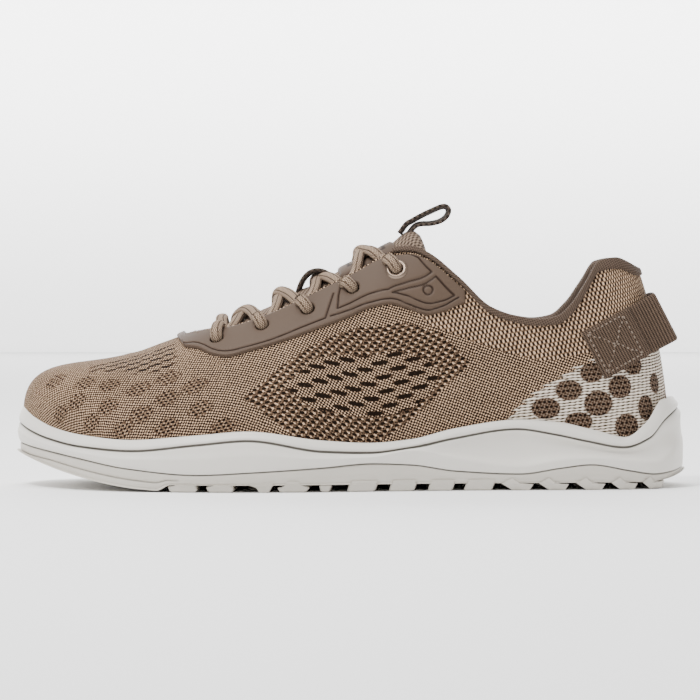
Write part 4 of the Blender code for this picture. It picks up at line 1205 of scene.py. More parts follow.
# Holes in the knit: the two steps of their lattice, half of their length and height, and lean
OPEN_HOLES = (*OPEN_STEPS, (1.05, 0.56), -0.16)
OPEN_KNOTS = (*OPEN_STEPS, (0.70, 0.50), 0.0)
OPEN_PINS = (*OPEN_STEPS, (0.32, 0.28), 0.0)
KNOT_OFFSET = (-1.25, 0.55)
PIN_OFFSET = (-1.90, -0.15)
DOT_HOLES = ((-1.95, 0.10), (-0.95, 1.60), (0.68, 0.48), 0.0)
SPOT_HOLES = ((-2.05, 0.10), (-1.00, 2.20), (0.66, 0.52), 0.0)
SLITS_CUT = ((-14.40, 1.56), (6.50, -3.80), (3.75, 0.98), -0.16)
RIDGE_CUT = ((-4.85, -3.40), (-5.15, 1.20), (2.9, 0.70), 0.0)
# One hole of each pattern, as (x, z) in millimetres seen from the side
OPEN_START = (-0.9, 63.0)
SLITS_START = (7.2, 45.5)
RIDGE_START = (-88.7, 50.5)
# How much of the tone each hole, pin, dot and slit takes away, as painted shade in the opening
HOLE_DEPTH = 0.93
PIN_DEPTH = 0.80
DOT_DEPTH = 0.92
SLIT_DEPTH = 0.86
# How sharply each yarn stands out of its gaps, and how much lighter it is than plain knit
PLAIN_GAIN = 1.9
MESH_GAIN = 1.5
CREAM_GAIN = 0.6
CREAM_ROWS = 3.0
SPOT_GAIN = 1.2
MESH_LIFT = 0.12
CREAM_LIFT = 0.06
SPOT_LIFT = 0.18
YARN_DRIFT = 0.9
YARN_RELIEF = 0.0005
# A step of the cream field's edge, in courses to a millimetre and in millimetres
STEP_COURSES = 0.28
STEP_LENGTH = 2.4
# Yarn tones: the near-black stops are painted shade in the gaps, and the lightest tan carries
# painted light on the yarn
YARN_DARK = (0.008, 0.004, 0.002)
YARN_BROWN = (0.082, 0.046, 0.027)
KNIT_TONES = (
    (0.14, YARN_DARK),
    (0.42, YARN_BROWN),
    (0.72, (0.152, 0.100, 0.064)),
    (1.00, (0.660, 0.450, 0.295)),
)
CREAM_TONES = (
    (0.12, (0.030, 0.018, 0.011)),
    (0.42, (0.420, 0.335, 0.255)),
    (0.85, (0.800, 0.720, 0.620)),
)
SPOT_TONES = ((0.10, YARN_DARK), (0.45, YARN_BROWN), (1.00, (0.215, 0.163, 0.124)))
LINING_DARK = (0.030, 0.022, 0.017)
LINING_LIGHT = (0.175, 0.135, 0.105)
LINING_STEPS = ((3.2, 0.0), (1.6, 2.4))
LINING_RELIEF = 0.0003


def ramp(n, share, *stops):
    """Colour along a few stops."""
    node = n.tree.nodes.new("ShaderNodeValToRGB")
    points = node.color_ramp.elements
    while len(points) < len(stops):
        points.new(0.5)
    for point, (position, colour) in zip(points, stops):
        point.position = position
        point.color = (*colour, 1)
    n.tree.links.new(share, node.inputs[0])
    return node.outputs[0]


def knit_finish():
    """Every pattern of the knit, each in its own zone. Tone runs from painted shade in the gaps,
    holes and slits, through the brown and tan of the yarn, to tan yarn brightened with painted
    light.
    """
    made, n, shader = finish(
        "knit_yarn",
        YARN_BROWN,
        0.9,
        Sheen_Weight=0.04,
        Sheen_Roughness=0.4,
        Specular_IOR_Level=0.08,
    )
    flat = n.mark("place", "Vector")
    drift = n.noise(flat, 0.45, output="Color")
    centred = n.add("ShaderNodeVectorMath", {0: drift, 1: (0.5, 0.5, 0.5)}, operation="SUBTRACT")
    shift = n.add("ShaderNodeVectorMath", {0: centred, 3: YARN_DRIFT}, operation="SCALE")
    place = n.add("ShaderNodeVectorMath", {0: flat, 1: shift}, operation="ADD")

    def yarn(steps, gain, rows=1.0):
        inputs = {"Place": place, "Gain": gain, "Rows": rows, **steps_of(*steps)}
        return n.group(STITCHES, inputs, "Yarn")

    def zone(mark, soft=0.35):
        return n.between(n.mark(mark), soft, -soft)

    def times(a, b):
        return n.math("MULTIPLY", a, b)

    def without(tone, holes, share):
        return times(tone, n.math("SUBTRACT", 1.0, times(holes, share)))

    def shapes(layout, origin):
        """Rounded shapes on a lattice that has one of them at origin."""
        first, second, half, lean = layout
        start = n.add("ShaderNodeVectorMath", {0: place, 1: (*origin, 0)}, operation="SUBTRACT")
        c, s = math.cos(lean), math.sin(lean)
        inputs = {
            "Place": start,
            **steps_of(first, second),
            "Step A": (*first, 0),
            "Step B": (*second, 0),
            "Along": (c / half[0], s / half[0], 0),
            "Across": (-s / half[1], c / half[1], 0),
        }
        return n.group(SLITS, inputs, "Slit")

    fuzz, broad = n.noise(place, 0.75, 4.0), n.noise(place, 0.045)
    lively = times(n.math("SUBTRACT", fuzz, 0.5), 0.42)
    uneven = n.math("ADD", lively, times(n.math("SUBTRACT", broad, 0.5), 0.18))
    plain = yarn(PLAIN_STEPS, PLAIN_GAIN)
    mesh = n.math("ADD", yarn(MESH_STEPS, MESH_GAIN), MESH_LIFT, True)
    tone = n.mix(zone("mesh"), plain, mesh)
    origin = np.array(on_knit(*OPEN_START))
    knots = shapes(OPEN_KNOTS, origin + KNOT_OFFSET)
    opened = n.math("ADD", times(plain, 0.45), n.math("ADD", times(knots, 0.48), 0.29), True)
    opened = without(opened, shapes(OPEN_HOLES, origin), HOLE_DEPTH)
    opened = without(opened, shapes(OPEN_PINS, origin + PIN_OFFSET), PIN_DEPTH)
    tone = n.mix(zone("open"), tone, opened)
    dotted = n.math("ADD", times(plain, 0.42), 0.44)
    dotted = without(dotted, shapes(DOT_HOLES, (0.0, 0.0)), DOT_DEPTH)
    tone = n.mix(zone("dots", 0.8), tone, dotted)
    cut = times(zone("slits", 1.0), shapes(SLITS_CUT, on_knit(*SLITS_START)))
    ridge_cut = times(zone("rows", 1.5), shapes(RIDGE_CUT, on_knit(*RIDGE_START)))
    tone = without(tone, n.math("MAXIMUM", cut, ridge_cut), SLIT_DEPTH)
    tone = n.math("ADD", tone, uneven, True)
    brown = ramp(n, tone, *KNIT_TONES)
    height = n.add("ShaderNodeSeparateXYZ", {0: place}, 1)
    course = n.math("FRACT", times(height, STEP_COURSES))
    step = times(n.math("SUBTRACT", course, 0.5), STEP_LENGTH)
    stepped = n.math("ADD", n.mark("cream"), step)
    inside_cream = n.between(stepped, 0.4, -0.4)
    rows = yarn(CREAM_STEPS, CREAM_GAIN, CREAM_ROWS)
    cream_tone = n.math("ADD", rows, n.math("ADD", lively, CREAM_LIFT), True)
    cream = ramp(n, cream_tone, *CREAM_TONES)
    spot_yarn = times(yarn(PLAIN_STEPS, SPOT_GAIN), 0.75)
    spot_tone = n.math("ADD", spot_yarn, n.math("ADD", lively, SPOT_LIFT), True)
    spot_tone = without(spot_tone, shapes(SPOT_HOLES, (0.0, 0.0)), HOLE_DEPTH)
    spot = ramp(n, spot_tone, *SPOT_TONES)
    colour = n.blend(inside_cream, brown, n.blend(zone("spots"), cream, spot))
    n.tree.links.new(colour, shader.inputs["Base Color"])
    raised_yarn = n.mix(inside_cream, tone, n.mix(zone("spots"), cream_tone, spot_tone))
    relief(n, shader, raised_yarn, YARN_RELIEF, 0.9)
    return made


knit = knit_finish()
lining = woven_finish(
    "lining_mesh", LINING_DARK, LINING_LIGHT, LINING_STEPS, 0.9, LINING_RELIEF, gain=1.4
)


def near_eyelets(outside, radius):
    """Faces of a grid whose middle lies within a radius of an eyelet."""
    middle = (outside[:-1, :-1] + outside[1:, 1:]) / 2
    found = np.zeros(middle.shape[:2], bool)
    for _, _, (_, _, centre, _) in eyelets:
        found |= np.linalg.norm(middle - centre, axis=-1) < radius
    return found


def knitted_upper():
    inner = raised(upper_angles, upper_t, np.full(upper_t.shape, -UPPER_WALL))
    wrapped = np.concatenate([upper_outside, upper_outside[:1]])
    return closed_wall(
        "knitted_upper", upper_outside, inner, knit, ["upper"], knit_marks(),
        wrap=True, skip=near_eyelets(wrapped, EYELET_CLEAR), lined=lining,
    )


knitted_upper()

# Eyestay: a moulded film overlay, welded on round the throat in one piece. Grooves part it into
# a long front panel, a rear panel and a small leaf with a round boss. Ten eyelets go through it.
OVERLAY_THICKNESS = 0.0015
THROAT_MARGIN = 0.0012
CUFF_LIP = 0.0020
CUFF_REACH = (0.444, 0.458)
OVERLAY_COLOUR = (0.086, 0.058, 0.041)
GROOVE_DEPTH = 0.00045
GROOVE_HALF = 0.45
GROOVE_FADE = (0.62, 0.15)
# Share of the film's colour kept in the painted shade of a groove
GROOVE_SHADE = (0.28, 0.23, 0.2)
FILM_GLOSS = 0.12
FILM_GRAIN = 0.00035
FILM_RELIEF = 0.00006
EYESTAY_COLUMNS = 290
EYESTAY_ROWS = 46
NOSE = 0.022
EYESTAY_EDGE = Table(
    "at height",
    (0.330, 0.812),
    (0.345, 0.794),
    (0.362, 0.772),
    (0.386, 0.758),
    (0.416, 0.784),
    (0.441, 0.803),
    (0.469, 0.788),
    (0.503, 0.745),
    (0.541, 0.703),
    (0.600, 0.640),
    (0.645, 0.601),
    (0.683, 0.574),
    (0.700, 0.580),
    (0.728, 0.609),
    (0.748, 0.614),
    (0.760, 0.640),
)
# Moulded grooves as (x, z) in millimetres seen from the lateral side
GROOVES = (
    (
        (-71.7, 61.3), (-67.0, 61.5), (-61.6, 60.3), (-56.3, 58.3), (-51.6, 58.3), (-42.2, 60.4),
        (-33.7, 63.0), (-20.9, 68.1), (-12.4, 71.3), (-10.2, 72.4), (-6.7, 82.7),
    ),
    (
        (-8.1, 73.2), (9.0, 79.2), (16.6, 80.9), (20.5, 80.2), (25.6, 78.3), (30.3, 76.6),
        (33.2, 76.2), (39.0, 77.5), (46.3, 81.3),
    ),
    (
        (-5.1, 76.2), (16.7, 84.7), (35.1, 92.4), (29.6, 98.0), (24.5, 99.9), (18.1, 99.3),
        (-3.0, 89.2), (-4.7, 81.7), (-5.1, 76.2),
    ),
    (
        (18.1, 83.3), (36.7, 90.5), (44.6, 82.3), (41.0, 80.4), (34.1, 78.9), (29.4, 79.7),
        (24.2, 81.9), (18.1, 83.3),
    ),
)
BOSS = (33.3, 84.4, 2.0)


def overlay_finish():
    """Matt film. The mark "groove" is the distance to a groove in millimetres; near a groove the
    colour is darkened as painted shade.
    """
    made, n, shader, toned = moulded_finish(
        "overlay_film", OVERLAY_COLOUR, 0.55, FILM_GLOSS, FILM_GRAIN, FILM_RELIEF
    )
    depth = n.between(n.mark("groove"), *GROOVE_FADE)
    dark = shaded(OVERLAY_COLOUR, GROOVE_SHADE)
    # Painted shade in the grooves
    n.tree.links.new(n.blend(depth, toned, dark), shader.inputs["Base Color"])
    return made


def eyestay_overlay():
    first, end = EYESTAY_EDGE.rows[0, 0], EYESTAY_EDGE.rows[-1, 0]
    ats = np.linspace(first, end, EYESTAY_COLUMNS)
    half = angle_at(ats, 1)
    around = np.concatenate([-half, half[::-1]])
    column_at = np.concatenate([ats, ats[::-1]])

    def low(at):
        return COLLAR_HEIGHT * EYESTAY_EDGE("height", at)

    def high(at):
        behind = 1 - ease(at, *CUFF_REACH)
        return top_height(at) - THROAT_MARGIN - (CUFF_LIP + 2 * GAP - THROAT_MARGIN) * behind

    bottom = t_at_height(around, low)
    top = np.maximum(t_at_height(around, high), bottom + 0.004)
    nose = np.clip((column_at - (end - NOSE)) / NOSE, 0, 1)
    bottom = np.minimum(1, top) - (np.minimum(1, top) - bottom) * np.sqrt(1 - nose**2)
    share = np.linspace(0, 1, EYESTAY_ROWS)
    t = np.minimum(bottom[:, None] + share[None] * (top - bottom)[:, None], 1)
    grid_angle = np.broadcast_to(around[:, None], t.shape)
    points, out = last(grid_angle, t), normal(grid_angle, t)
    up = run_along(points, axis=1) * 1000
    flat = np.stack([np.broadcast_to(points[:, :1, 0] * 1000, up.shape), up], -1)
    lateral = slice(0, EYESTAY_COLUMNS)
    side_view = points[lateral][..., [0, 2]].reshape(-1, 2) * 1000

    def on_overlay(x, z):
        nearest = np.argmin(((side_view - (x, z)) ** 2).sum(-1))
        return flat[lateral].reshape(-1, 2)[nearest]

    groove = np.full(up.shape, 9.0)
    for line in GROOVES:
        placed = np.array([on_overlay(x, z) for x, z in line])
        groove = np.minimum(groove, to_line(flat, placed))
    x, z, radius = BOSS
    boss = np.linalg.norm(flat - on_overlay(x, z), axis=-1)
    groove = np.minimum(groove, np.abs(boss - radius))
    open_top = np.where(column_at > TOP_LINE.rows[-1, 0], 9.0, 0.0)[:, None]
    edge = np.minimum(up, up[:, -1:] - up + open_top)
    edge = np.minimum(edge, (column_at[:, None] - first) * SOLE_LENGTH * 1000)
    edge = np.minimum(edge, (end - column_at[:, None]) * SOLE_LENGTH * 700)
    for _, _, (_, _, centre, _) in eyelets:
        from_hole = np.linalg.norm(points - centre, axis=-1) * 1000 - EYELET_HOLE * 500
        edge = np.minimum(edge, np.maximum(from_hole, 0.0) * 1.6)
        groove = np.minimum(groove, np.maximum(from_hole, 0.0) + 0.1)
    rounded = np.sqrt(1 - (1 - np.clip(edge / 1.0, 0, 1)) ** 2)
    lift = OVERLAY_THICKNESS * (0.35 + 0.65 * rounded)
    lift = lift - GROOVE_DEPTH * (1 - ease(groove, 0.1, GROOVE_HALF + 0.25))
    for _, _, (_, _, centre, axis) in eyelets:
        away = points - centre
        away = away - (away @ axis)[..., None] * axis
        distance = np.linalg.norm(away, axis=-1, keepdims=True)
        near = (np.abs(distance - EYELET_HOLE / 2) < EYELET_SNAP)[..., 0]
        shift = away / np.maximum(distance, 1e-9) * (EYELET_HOLE / 2 - distance)
        points[near] += shift[near]
    holes = near_eyelets(points, EYELET_HOLE / 2 - 0.0001)
    holes[EYESTAY_COLUMNS - 1] = True
    marks = {"groove": groove}
    inner = points + out * 0.0001
    return closed_wall(
        "eyestay_overlay", points + out * lift[..., None], inner, overlay,
        ["eyestay"], marks, skip=holes,
    )


overlay = overlay_finish()
eyestay = eyestay_overlay()

# Collar: a strip of dark brown woven binding, turned over the top edge of the knit. Inside it
# runs down as a soft padded roll, deepest round the heel.
CUFF_START = 0.437
CUFF_RISE = 0.0014
CUFF_SHOWN = 0.0019
CUFF_WIDER = 0.0020
CUFF_OUTSIDE = 0.0013
CUFF_PAD = 0.0045
PAD_DEPTH = 0.0340
CUFF_SECTIONS = 171
BINDING_COLOUR = (0.135, 0.093, 0.068)
BINDING_DARK = (0.010, 0.006, 0.004)
BINDING_STEPS = ((0.9, 0.4), (-0.4, 0.9))
BINDING_RELIEF = 0.00022
# Where the binding narrows to the front, and where its fold comes up at the heel's back
BINDING_NARROWS = (0.165, 0.215)
FOLD_RISES = (0.045, 0.085)
FOLD_INSIDE = 0.0011
CUFF_DEPTH = Table(
    "at depth",
    (0.000, 1.00),
    (0.170, 0.92),
    (0.280, 0.70),
    (0.340, 0.35),
    (0.380, 0.12),
    (0.450, 0.09),
)
binding = woven_finish(
    "collar_binding", BINDING_DARK, BINDING_COLOUR, BINDING_STEPS, 0.85, BINDING_RELIEF
)


def tube_faces(rows, columns):
    """Faces of a tube of rings that is closed at both ends."""
    ends = [list(range(columns)), list(range((rows - 1) * columns, rows * columns))]
    return quads(rows, columns, wrap_columns=True) + ends


def wall_point(angle, depth, lift, inside):
    """Point on a face of the upper's wall, depth below its top edge, moved out by lift."""
    top = float(t_at_height(angle, top_height)[0])
    t = np.linspace(top, max(top - 0.75, 0), 60)
    side = np.full(t.shape, -UPPER_WALL if inside else 0.0)
    around = np.full(t.shape, angle)
    points, out = raised(around, t, side), normal(around, t)
    run = run_along(points)
    made = []
    for d, l in zip(depth, lift):
        point = [np.interp(d, run, points[:, i]) for i in range(3)]
        away = [np.interp(d, run, out[:, i]) for i in range(3)]
        made.append(np.array(point) + l * unit(np.array(away)))
    return made


def flat_place(along, across):
    """Places on a flat piece of cloth, in millimetres."""
    return np.stack(np.broadcast_arrays(along, across, 0.0), -1) * 1000


def collar_cuff():
    limit = float(angle_at(CUFF_START, 1))
    sections = []
    for angle in np.linspace(-limit, limit, 2 * CUFF_SECTIONS + 1):
        t = float(t_at_height(angle, top_height)[0])
        edge, out = last(angle, t), normal(angle, t)
        up = unit(last(angle, t) - last(angle, t - 0.01))
        depth = PAD_DEPTH * float(CUFF_DEPTH("depth", at_of(edge[0])))
        pad = GAP + CUFF_PAD * (0.35 + 0.65 * float(ease(depth, 0.004, 0.020)))
        back = float(ease(at_of(edge[0]), *FOLD_RISES))
        wider = 1 - float(ease(at_of(edge[0]), *BINDING_NARROWS))
        lip = (CUFF_SHOWN + CUFF_WIDER * wider) * (0.12 + 0.88 * back)
        rise = CUFF_RISE * (0.05 + 0.95 * back)
        stand = CUFF_OUTSIDE * (0.4 + 0.6 * back)
        outer = wall_point(
            angle, (lip, lip, lip * 0.75, lip * 0.35), (0.0001, 0.0008, stand, stand), False
        )
        inner = wall_point(
            angle,
            (depth * 0.25, depth * 0.5, depth * 0.75, depth, depth, depth * 0.5),
            (-pad, -pad * 1.05, -pad * 0.9, -0.0008, 0.0003, 0.0003),
            True,
        )
        sections.append(
            [
                *outer,
                edge + out * stand * 0.8 + up * rise * 0.6,
                edge - out * FOLD_INSIDE + up * rise,
                edge - out * (UPPER_WALL + pad * 0.55) + up * rise * 0.2,
                *inner,
                edge - out * UPPER_WALL * 0.5 - up * 0.001,
            ]
        )
    knots = np.swapaxes(np.array(sections), 0, 1)
    grid = np.swapaxes(smooth_rows(list(knots) + [knots[0]], 3)[:-1], 0, 1)
    rows, columns = grid.shape[:2]
    along, across = run_along(grid[:, 6])[:, None], run_along(grid, axis=1)
    marks = {"place": flat_place(along, across)}
    faces = tube_faces(rows, columns)
    made = dress("padded_collar", grid, faces, binding, ["collar_cuff"], marks)
    return made


collar_cuff()

# Tongue: padded and covered with the same coarse mesh knit, thin in front and thick at its top,
# pressed in under each crossing of the lace. A smooth moulded tab is welded on its top front.
TONGUE_SINK = 0.0032
TONGUE_DIP = 0.0020
TONGUE_PRESS = 0.0008
PRESS_REACH = 0.017
TONGUE_TUCK = 0.0030
TONGUE_ROUND = 0.0035
TONGUE_CREST = 0.0024
TONGUE_THIN = 0.0034
TONGUE_THICK = 0.0070
TONGUE_WING = 0.0110
TONGUE_FRONT = 0.790
TONGUE_END = 0.405
TAB_THICKNESS = 0.0011
TAB_START = 0.684
TAB_END = 0.900
TAB_SIDES = 0.55
TONGUE_LIGHT = (0.300, 0.215, 0.158)
TONGUE_STEPS = ((1.9, 0.2), (0.9, 1.8))
CROSSINGS = (
    (0.6756, 0.6650),
    (0.6138, 0.6070),
    (0.5574, 0.5540),
    (0.4936, 0.4850),
)


def tongue_surface(s, w):
    """Points of the tongue's outside: s runs back from its front end, w from side to side."""
    s, w = np.meshgrid(s, w, indexing="ij")
    side = np.where(w < 0, -1, 1)
    at = TONGUE_FRONT + (TONGUE_END - TONGUE_FRONT) * s - 0.030 * s * np.abs(w) ** 1.6
    angle = angle_at(at, 1) * side
    samples = np.linspace(0.34, 0.80, 160)
    t = np.zeros(at.shape)
    for one in (-1, 1):
        around = angle_at(samples, one)
        top = t_at_height(around, top_height)
        ahead = last(around, np.minimum(top, 0.99)) - last(around, np.minimum(top, 0.99) - 0.01)
        speed = np.interp(at, samples, np.linalg.norm(ahead, axis=-1) / 0.01)
        edge = np.interp(at, samples, top) - TONGUE_WING * (0.5 + 0.5 * s) / speed
        t = np.where(side == one, 1 - np.abs(w) * (1 - edge), t)
    places = [EYELETS[0][0]] + [cross for _, cross in CROSSINGS]
    press = np.max([np.exp(-(((at - p) / PRESS_REACH) ** 2)) for p in places], 0)
    sides = TONGUE_SINK + TONGUE_TUCK * ease(-at, -0.50, -0.46)
    lip = TONGUE_ROUND * (1 - np.sqrt(1 - np.clip((s - 0.95) / 0.05, 0, 1) ** 2))
    sink = TONGUE_SINK + TONGUE_DIP * ease(-at, -0.600, -0.545)
    sink = sink - TONGUE_CREST * ease(s, 0.88, 0.97)
    depth = (sink + TONGUE_PRESS * press) * (1 - w * w) + sides * w * w + lip
    return raised(angle, t, -depth), s, w


def padded_tongue():
    outer, s, w = tongue_surface(np.linspace(0, 1, 110), np.linspace(-1, 1, 45))
    ahead = angle_at(TONGUE_FRONT + (TONGUE_END - TONGUE_FRONT) * s[:, 0], 1)
    down = -normal(ahead, np.ones(len(ahead)))
    thick = TONGUE_THIN + (TONGUE_THICK - TONGUE_THIN) * ease(s, 0.45, 0.9)
    round_end = np.sqrt(1 - np.clip((s - 0.94) / 0.06, 0, 1) ** 2) * 0.85 + 0.15
    round_side = np.sqrt(1 - (np.abs(w) ** 6)) * 0.8 + 0.2
    inner = outer + down[:, None] * (thick * round_end * round_side)[..., None]
    across = run_along(outer, axis=1)
    middle = across.shape[1] // 2
    across = across - across[:, middle][:, None]
    marks = {"place": flat_place(outer[:, middle, 0][:, None], across)}
    made = closed_wall("padded_tongue", outer, inner, tongue_knit, ["tongue"], marks)
    return made


tongue_knit = woven_finish(
    "tongue_knit", YARN_DARK, TONGUE_LIGHT, TONGUE_STEPS, 0.85, YARN_RELIEF, gain=1.5
)
tongue = padded_tongue()


def moulded_tab():
    along, across = np.linspace(TAB_START, TAB_END, 44), np.linspace(-TAB_SIDES, TAB_SIDES, 40)
    outer = tongue_surface(along, across)[0]
    along, across = np.gradient(outer, axis=(0, 1))
    out = unit(np.cross(along, across))
    out = out * np.where(out[..., 2:] < 0, -1, 1)
    rows, columns = outer.shape[:2]
    i, j = np.meshgrid(np.arange(rows), np.arange(columns), indexing="ij")
    edge = np.minimum(np.minimum(i, rows - 1 - i), np.minimum(j, columns - 1 - j)) / 3.0
    rounded = np.sqrt(1 - (1 - np.clip(edge, 0, 1)) ** 2)
    lift = TAB_THICKNESS * (0.2 + 0.8 * rounded) + 0.0002
    # A line inside the tab's edge is darkened as painted groove shade, with no cut under it
    marks = {"groove": np.abs(edge * 0.9 - 2.4) + 0.05}
    face = outer + out * lift[..., None]
    return closed_wall("moulded_tab", face, outer, overlay, ["tongue_tab"], marks)


tab = moulded_tab()

# Top eyelets: a flanged ring of satin brown metal, pressed into the overlay on each side. The
# other eight holes are bare.
RING_BORE = 0.0054
RING_FLANGE = 0.0094
RING_HEIGHT = 0.0009
METAL_COLOUR = (0.230, 0.170, 0.130)
brass, n, shader = finish("satin_metal", METAL_COLOUR, 0.32, Metallic=0.9)
scuffs = n.noise(n.on_object(), 900.0, 4.0)
n.tree.links.new(n.between(scuffs, 0.2, 0.8, 0.24, 0.42), shader.inputs["Roughness"])
relief(n, shader, scuffs, 0.00003, 0.6)


def eyelet_ring(name, side, node):
    _, _, centre, out = eyelet_place(len(EYELETS) - 1, side)
    across = unit(np.cross(out, (0.0, 0.3, 1.0)))
    over = np.cross(out, across)
    seat = OVERLAY_THICKNESS - 0.0002
    bore, flange = RING_BORE / 2, RING_FLANGE / 2
    profile = [
        (bore, -UPPER_WALL),
        (bore + 0.0006, -UPPER_WALL),
        (bore + 0.0006, seat),
        (bore + 0.0006, seat),
        (flange, seat),
        (flange, seat + 0.0003),
        (flange - 0.0007, seat + RING_HEIGHT),
        (bore + 0.0007, seat + RING_HEIGHT),
        (bore, seat + 0.0003),
        (bore, -UPPER_WALL),
    ]
    profile = smooth_rows([np.array(p) for p in profile], 4)[:-1]
    rings = []
    for turn in np.linspace(0, 2 * np.pi, 48, endpoint=False):
        ray = math.cos(turn) * across + math.sin(turn) * over
        rings.append([centre + ray * r + out * h for r, h in profile])
    rings = np.array(rings)
    rows, columns = rings.shape[:2]
    faces = quads(rows, columns, wrap_rows=True, wrap_columns=True)
    return dress(name, rings, faces, brass, [node])


ring_lateral = eyelet_ring("ring_lateral", -1, "eyelet_lateral")
ring_medial = eyelet_ring("ring_medial", 1, "eyelet_medial")

# Laces: soft oval braid of tan yarn with darker lengthwise threads. Each run leaves an eyelet
# under the overlay, crosses over the tongue, and goes down through the next eyelet opposite.
LACE_WIDTH = 0.0053
LACE_HEIGHT = 0.0038
LACE_LIGHT = (0.600, 0.450, 0.325)
LACE_TAN = (0.175, 0.115, 0.076)
LACE_DARK = (0.024, 0.014, 0.009)
LACE_POINTS = 90
LACE_STACK = 0.0032
BAR_LIFT = 0.0026
# Middle of each run as it goes down to its eyelet, as (x, z) in millimetres seen from the side,
# with its share of the way from the ridge to the throat's edge
LACE_RUNS = (
    ((-45.6, 76.6, 0.05), (-42.2, 75.4, 0.50), (-39.4, 71.6, 1.00)),
    ((-31.0, 84.4, 0.05), (-26.7, 83.2, 0.45), (-22.3, 79.8, 0.95)),
    ((-13.2, 90.1, 0.05), (-8.2, 88.9, 0.45), (-3.4, 86.0, 0.95)),
    ((4.4, 102.6, 0.00), (9.4, 101.3, 0.40), (14.4, 97.9, 0.90)),
)
# How each run bends down into its eyelet: back from the middle, above the rim, and its turn
LACE_BEND = (
    (0.0034, 0.0018, 0.05),
    (0.0014, 0.0013, 0.35),
    (0.0001, -0.0004, 0.75),
    (-0.0003, -0.0048, 1.00),
)
LACE_SIDES = 20
LACE_STEPS = ((0.56, 0.384), (-0.56, 0.384))
LACE_RELIEF = 0.0004


def surface_of(*objects):
    """Search tree of the faces of several pieces."""
    points, faces = [], []
    for made in objects:
        start = len(points)
        points.extend(v.co for v in made.data.vertices)
        faces.extend([start + k for k in f.vertices] for f in made.data.polygons)
    return BVHTree.FromPolygons(points, faces)


def seated(surface, point, out, lift, reach=0.003):
    """The point moved along out until it stands lift above the surface near it."""
    hit = surface.ray_cast(Vector(point + out * 0.012), Vector(-out), 0.012 + reach)[0]
    return (point if hit is None else np.array(hit)) + out * lift


def curve_through(points, count):
    """Even points on a smooth curve through a few chosen ones."""
    points = np.asarray(points, float)
    run = run_along(points)
    ends = np.vstack([2 * points[0] - points[1], points, 2 * points[-1] - points[-2]])
    made = []
    for s in np.linspace(0, run[-1], count):
        i = min(int(np.searchsorted(run, s, side="right")) - 1, len(points) - 2)
        f = (s - run[i]) / (run[i + 1] - run[i])
        made.append(curved(*ends[i : i + 4], f))
    return np.array(made)


def beside_ridge(at, side, share):
    """Angle and t of a place on the throat, at a share of the way from the ridge to its edge."""
    angle = float(angle_at(at, side))
    return angle, 1 - share * (1 - float(t_at_height(angle, top_height)[0]))


def over_throat(surface, at, side, share, lift):
    angle, t = beside_ridge(at, side, share)
    return seated(surface, last(angle, t), normal(angle, t), lift, 0.012)


def lace_finish():
    """Braid: slanted threads in two directions, with a few dark threads that run lengthwise. Its
    darkest tone, in the gaps between threads, is painted shade.
    """
    made, n, shader = finish(
        "lace_braid", LACE_TAN, 0.8, Sheen_Weight=0.05, Sheen_Roughness=0.4, Specular_IOR_Level=0.1
    )
    parts = n.tree.nodes.new("ShaderNodeSeparateXYZ")
    n.tree.links.new(n.mark("place", "Vector"), parts.inputs[0])
    along, cosine, sine = parts.outputs
    turn = n.math("ARCTAN2", sine, cosine)
    around = n.math("MULTIPLY", turn, 2.2)
    flat = n.add("ShaderNodeCombineXYZ", {0: along, 1: around})
    inputs = {"Place": flat, "Gain": 0.9, "Rows": 1.0, **steps_of(*LACE_STEPS)}
    braid = n.group(STITCHES, inputs, "Yarn")
    stripes = n.math("COSINE", n.math("MULTIPLY", turn, 6.0))
    line = n.between(stripes, 0.70, 0.95)
    near_end = n.between(n.mark("end"), 7.0, 3.5)
    line = n.math("MULTIPLY", line, n.math("SUBTRACT", 1.0, n.math("MULTIPLY", near_end, 0.6)))
    speckle = n.math("MULTIPLY", n.math("SUBTRACT", 1.0, braid), n.math("MULTIPLY", near_end, 0.7))
    # The lowest stop is painted shade in the braid's gaps
    light = ramp(n, braid, (0.0, LACE_DARK), (0.35, LACE_TAN), (1.0, LACE_LIGHT))
    darkness = n.math("MAXIMUM", n.math("MULTIPLY", line, 0.85), speckle)
    colour = n.blend(darkness, light, (*LACE_DARK, 1))
    n.tree.links.new(colour, shader.inputs["Base Color"])
    relief(n, shader, n.math("SUBTRACT", braid, n.math("MULTIPLY", line, 0.6)), LACE_RELIEF, 0.9)
    return made


def lace_tube(points, over, ends):
    """Oval tube along a path. Over is its flat side's direction at each point."""
    ahead = unit(np.gradient(points, axis=0))
    over = unit(over - (over * ahead).sum(-1, keepdims=True) * ahead)
    across = np.cross(over, ahead)
    turn = np.linspace(0, 2 * np.pi, LACE_SIDES, endpoint=False)[None, :, None]
    run = run_along(points) * 1000
    to_end = np.minimum(run if ends[0] else 99, run[-1] - run if ends[1] else 99)
    wide = (0.80 + 0.20 * ease(to_end, 1.0, 6.0))[:, None, None]
    ring = np.cos(turn) * across[:, None] * LACE_WIDTH / 2 * wide
    ring = ring + np.sin(turn) * over[:, None] * LACE_HEIGHT / 2
    tube = points[:, None] + ring
    rows, columns = tube.shape[:2]
    angle = turn[..., 0]
    place = np.stack(np.broadcast_arrays(run[:, None], np.cos(angle), np.sin(angle)), -1)
    faces = tube_faces(rows, columns)
    return tube.reshape(-1, 3), faces, place.reshape(-1, 3), np.repeat(to_end, columns)


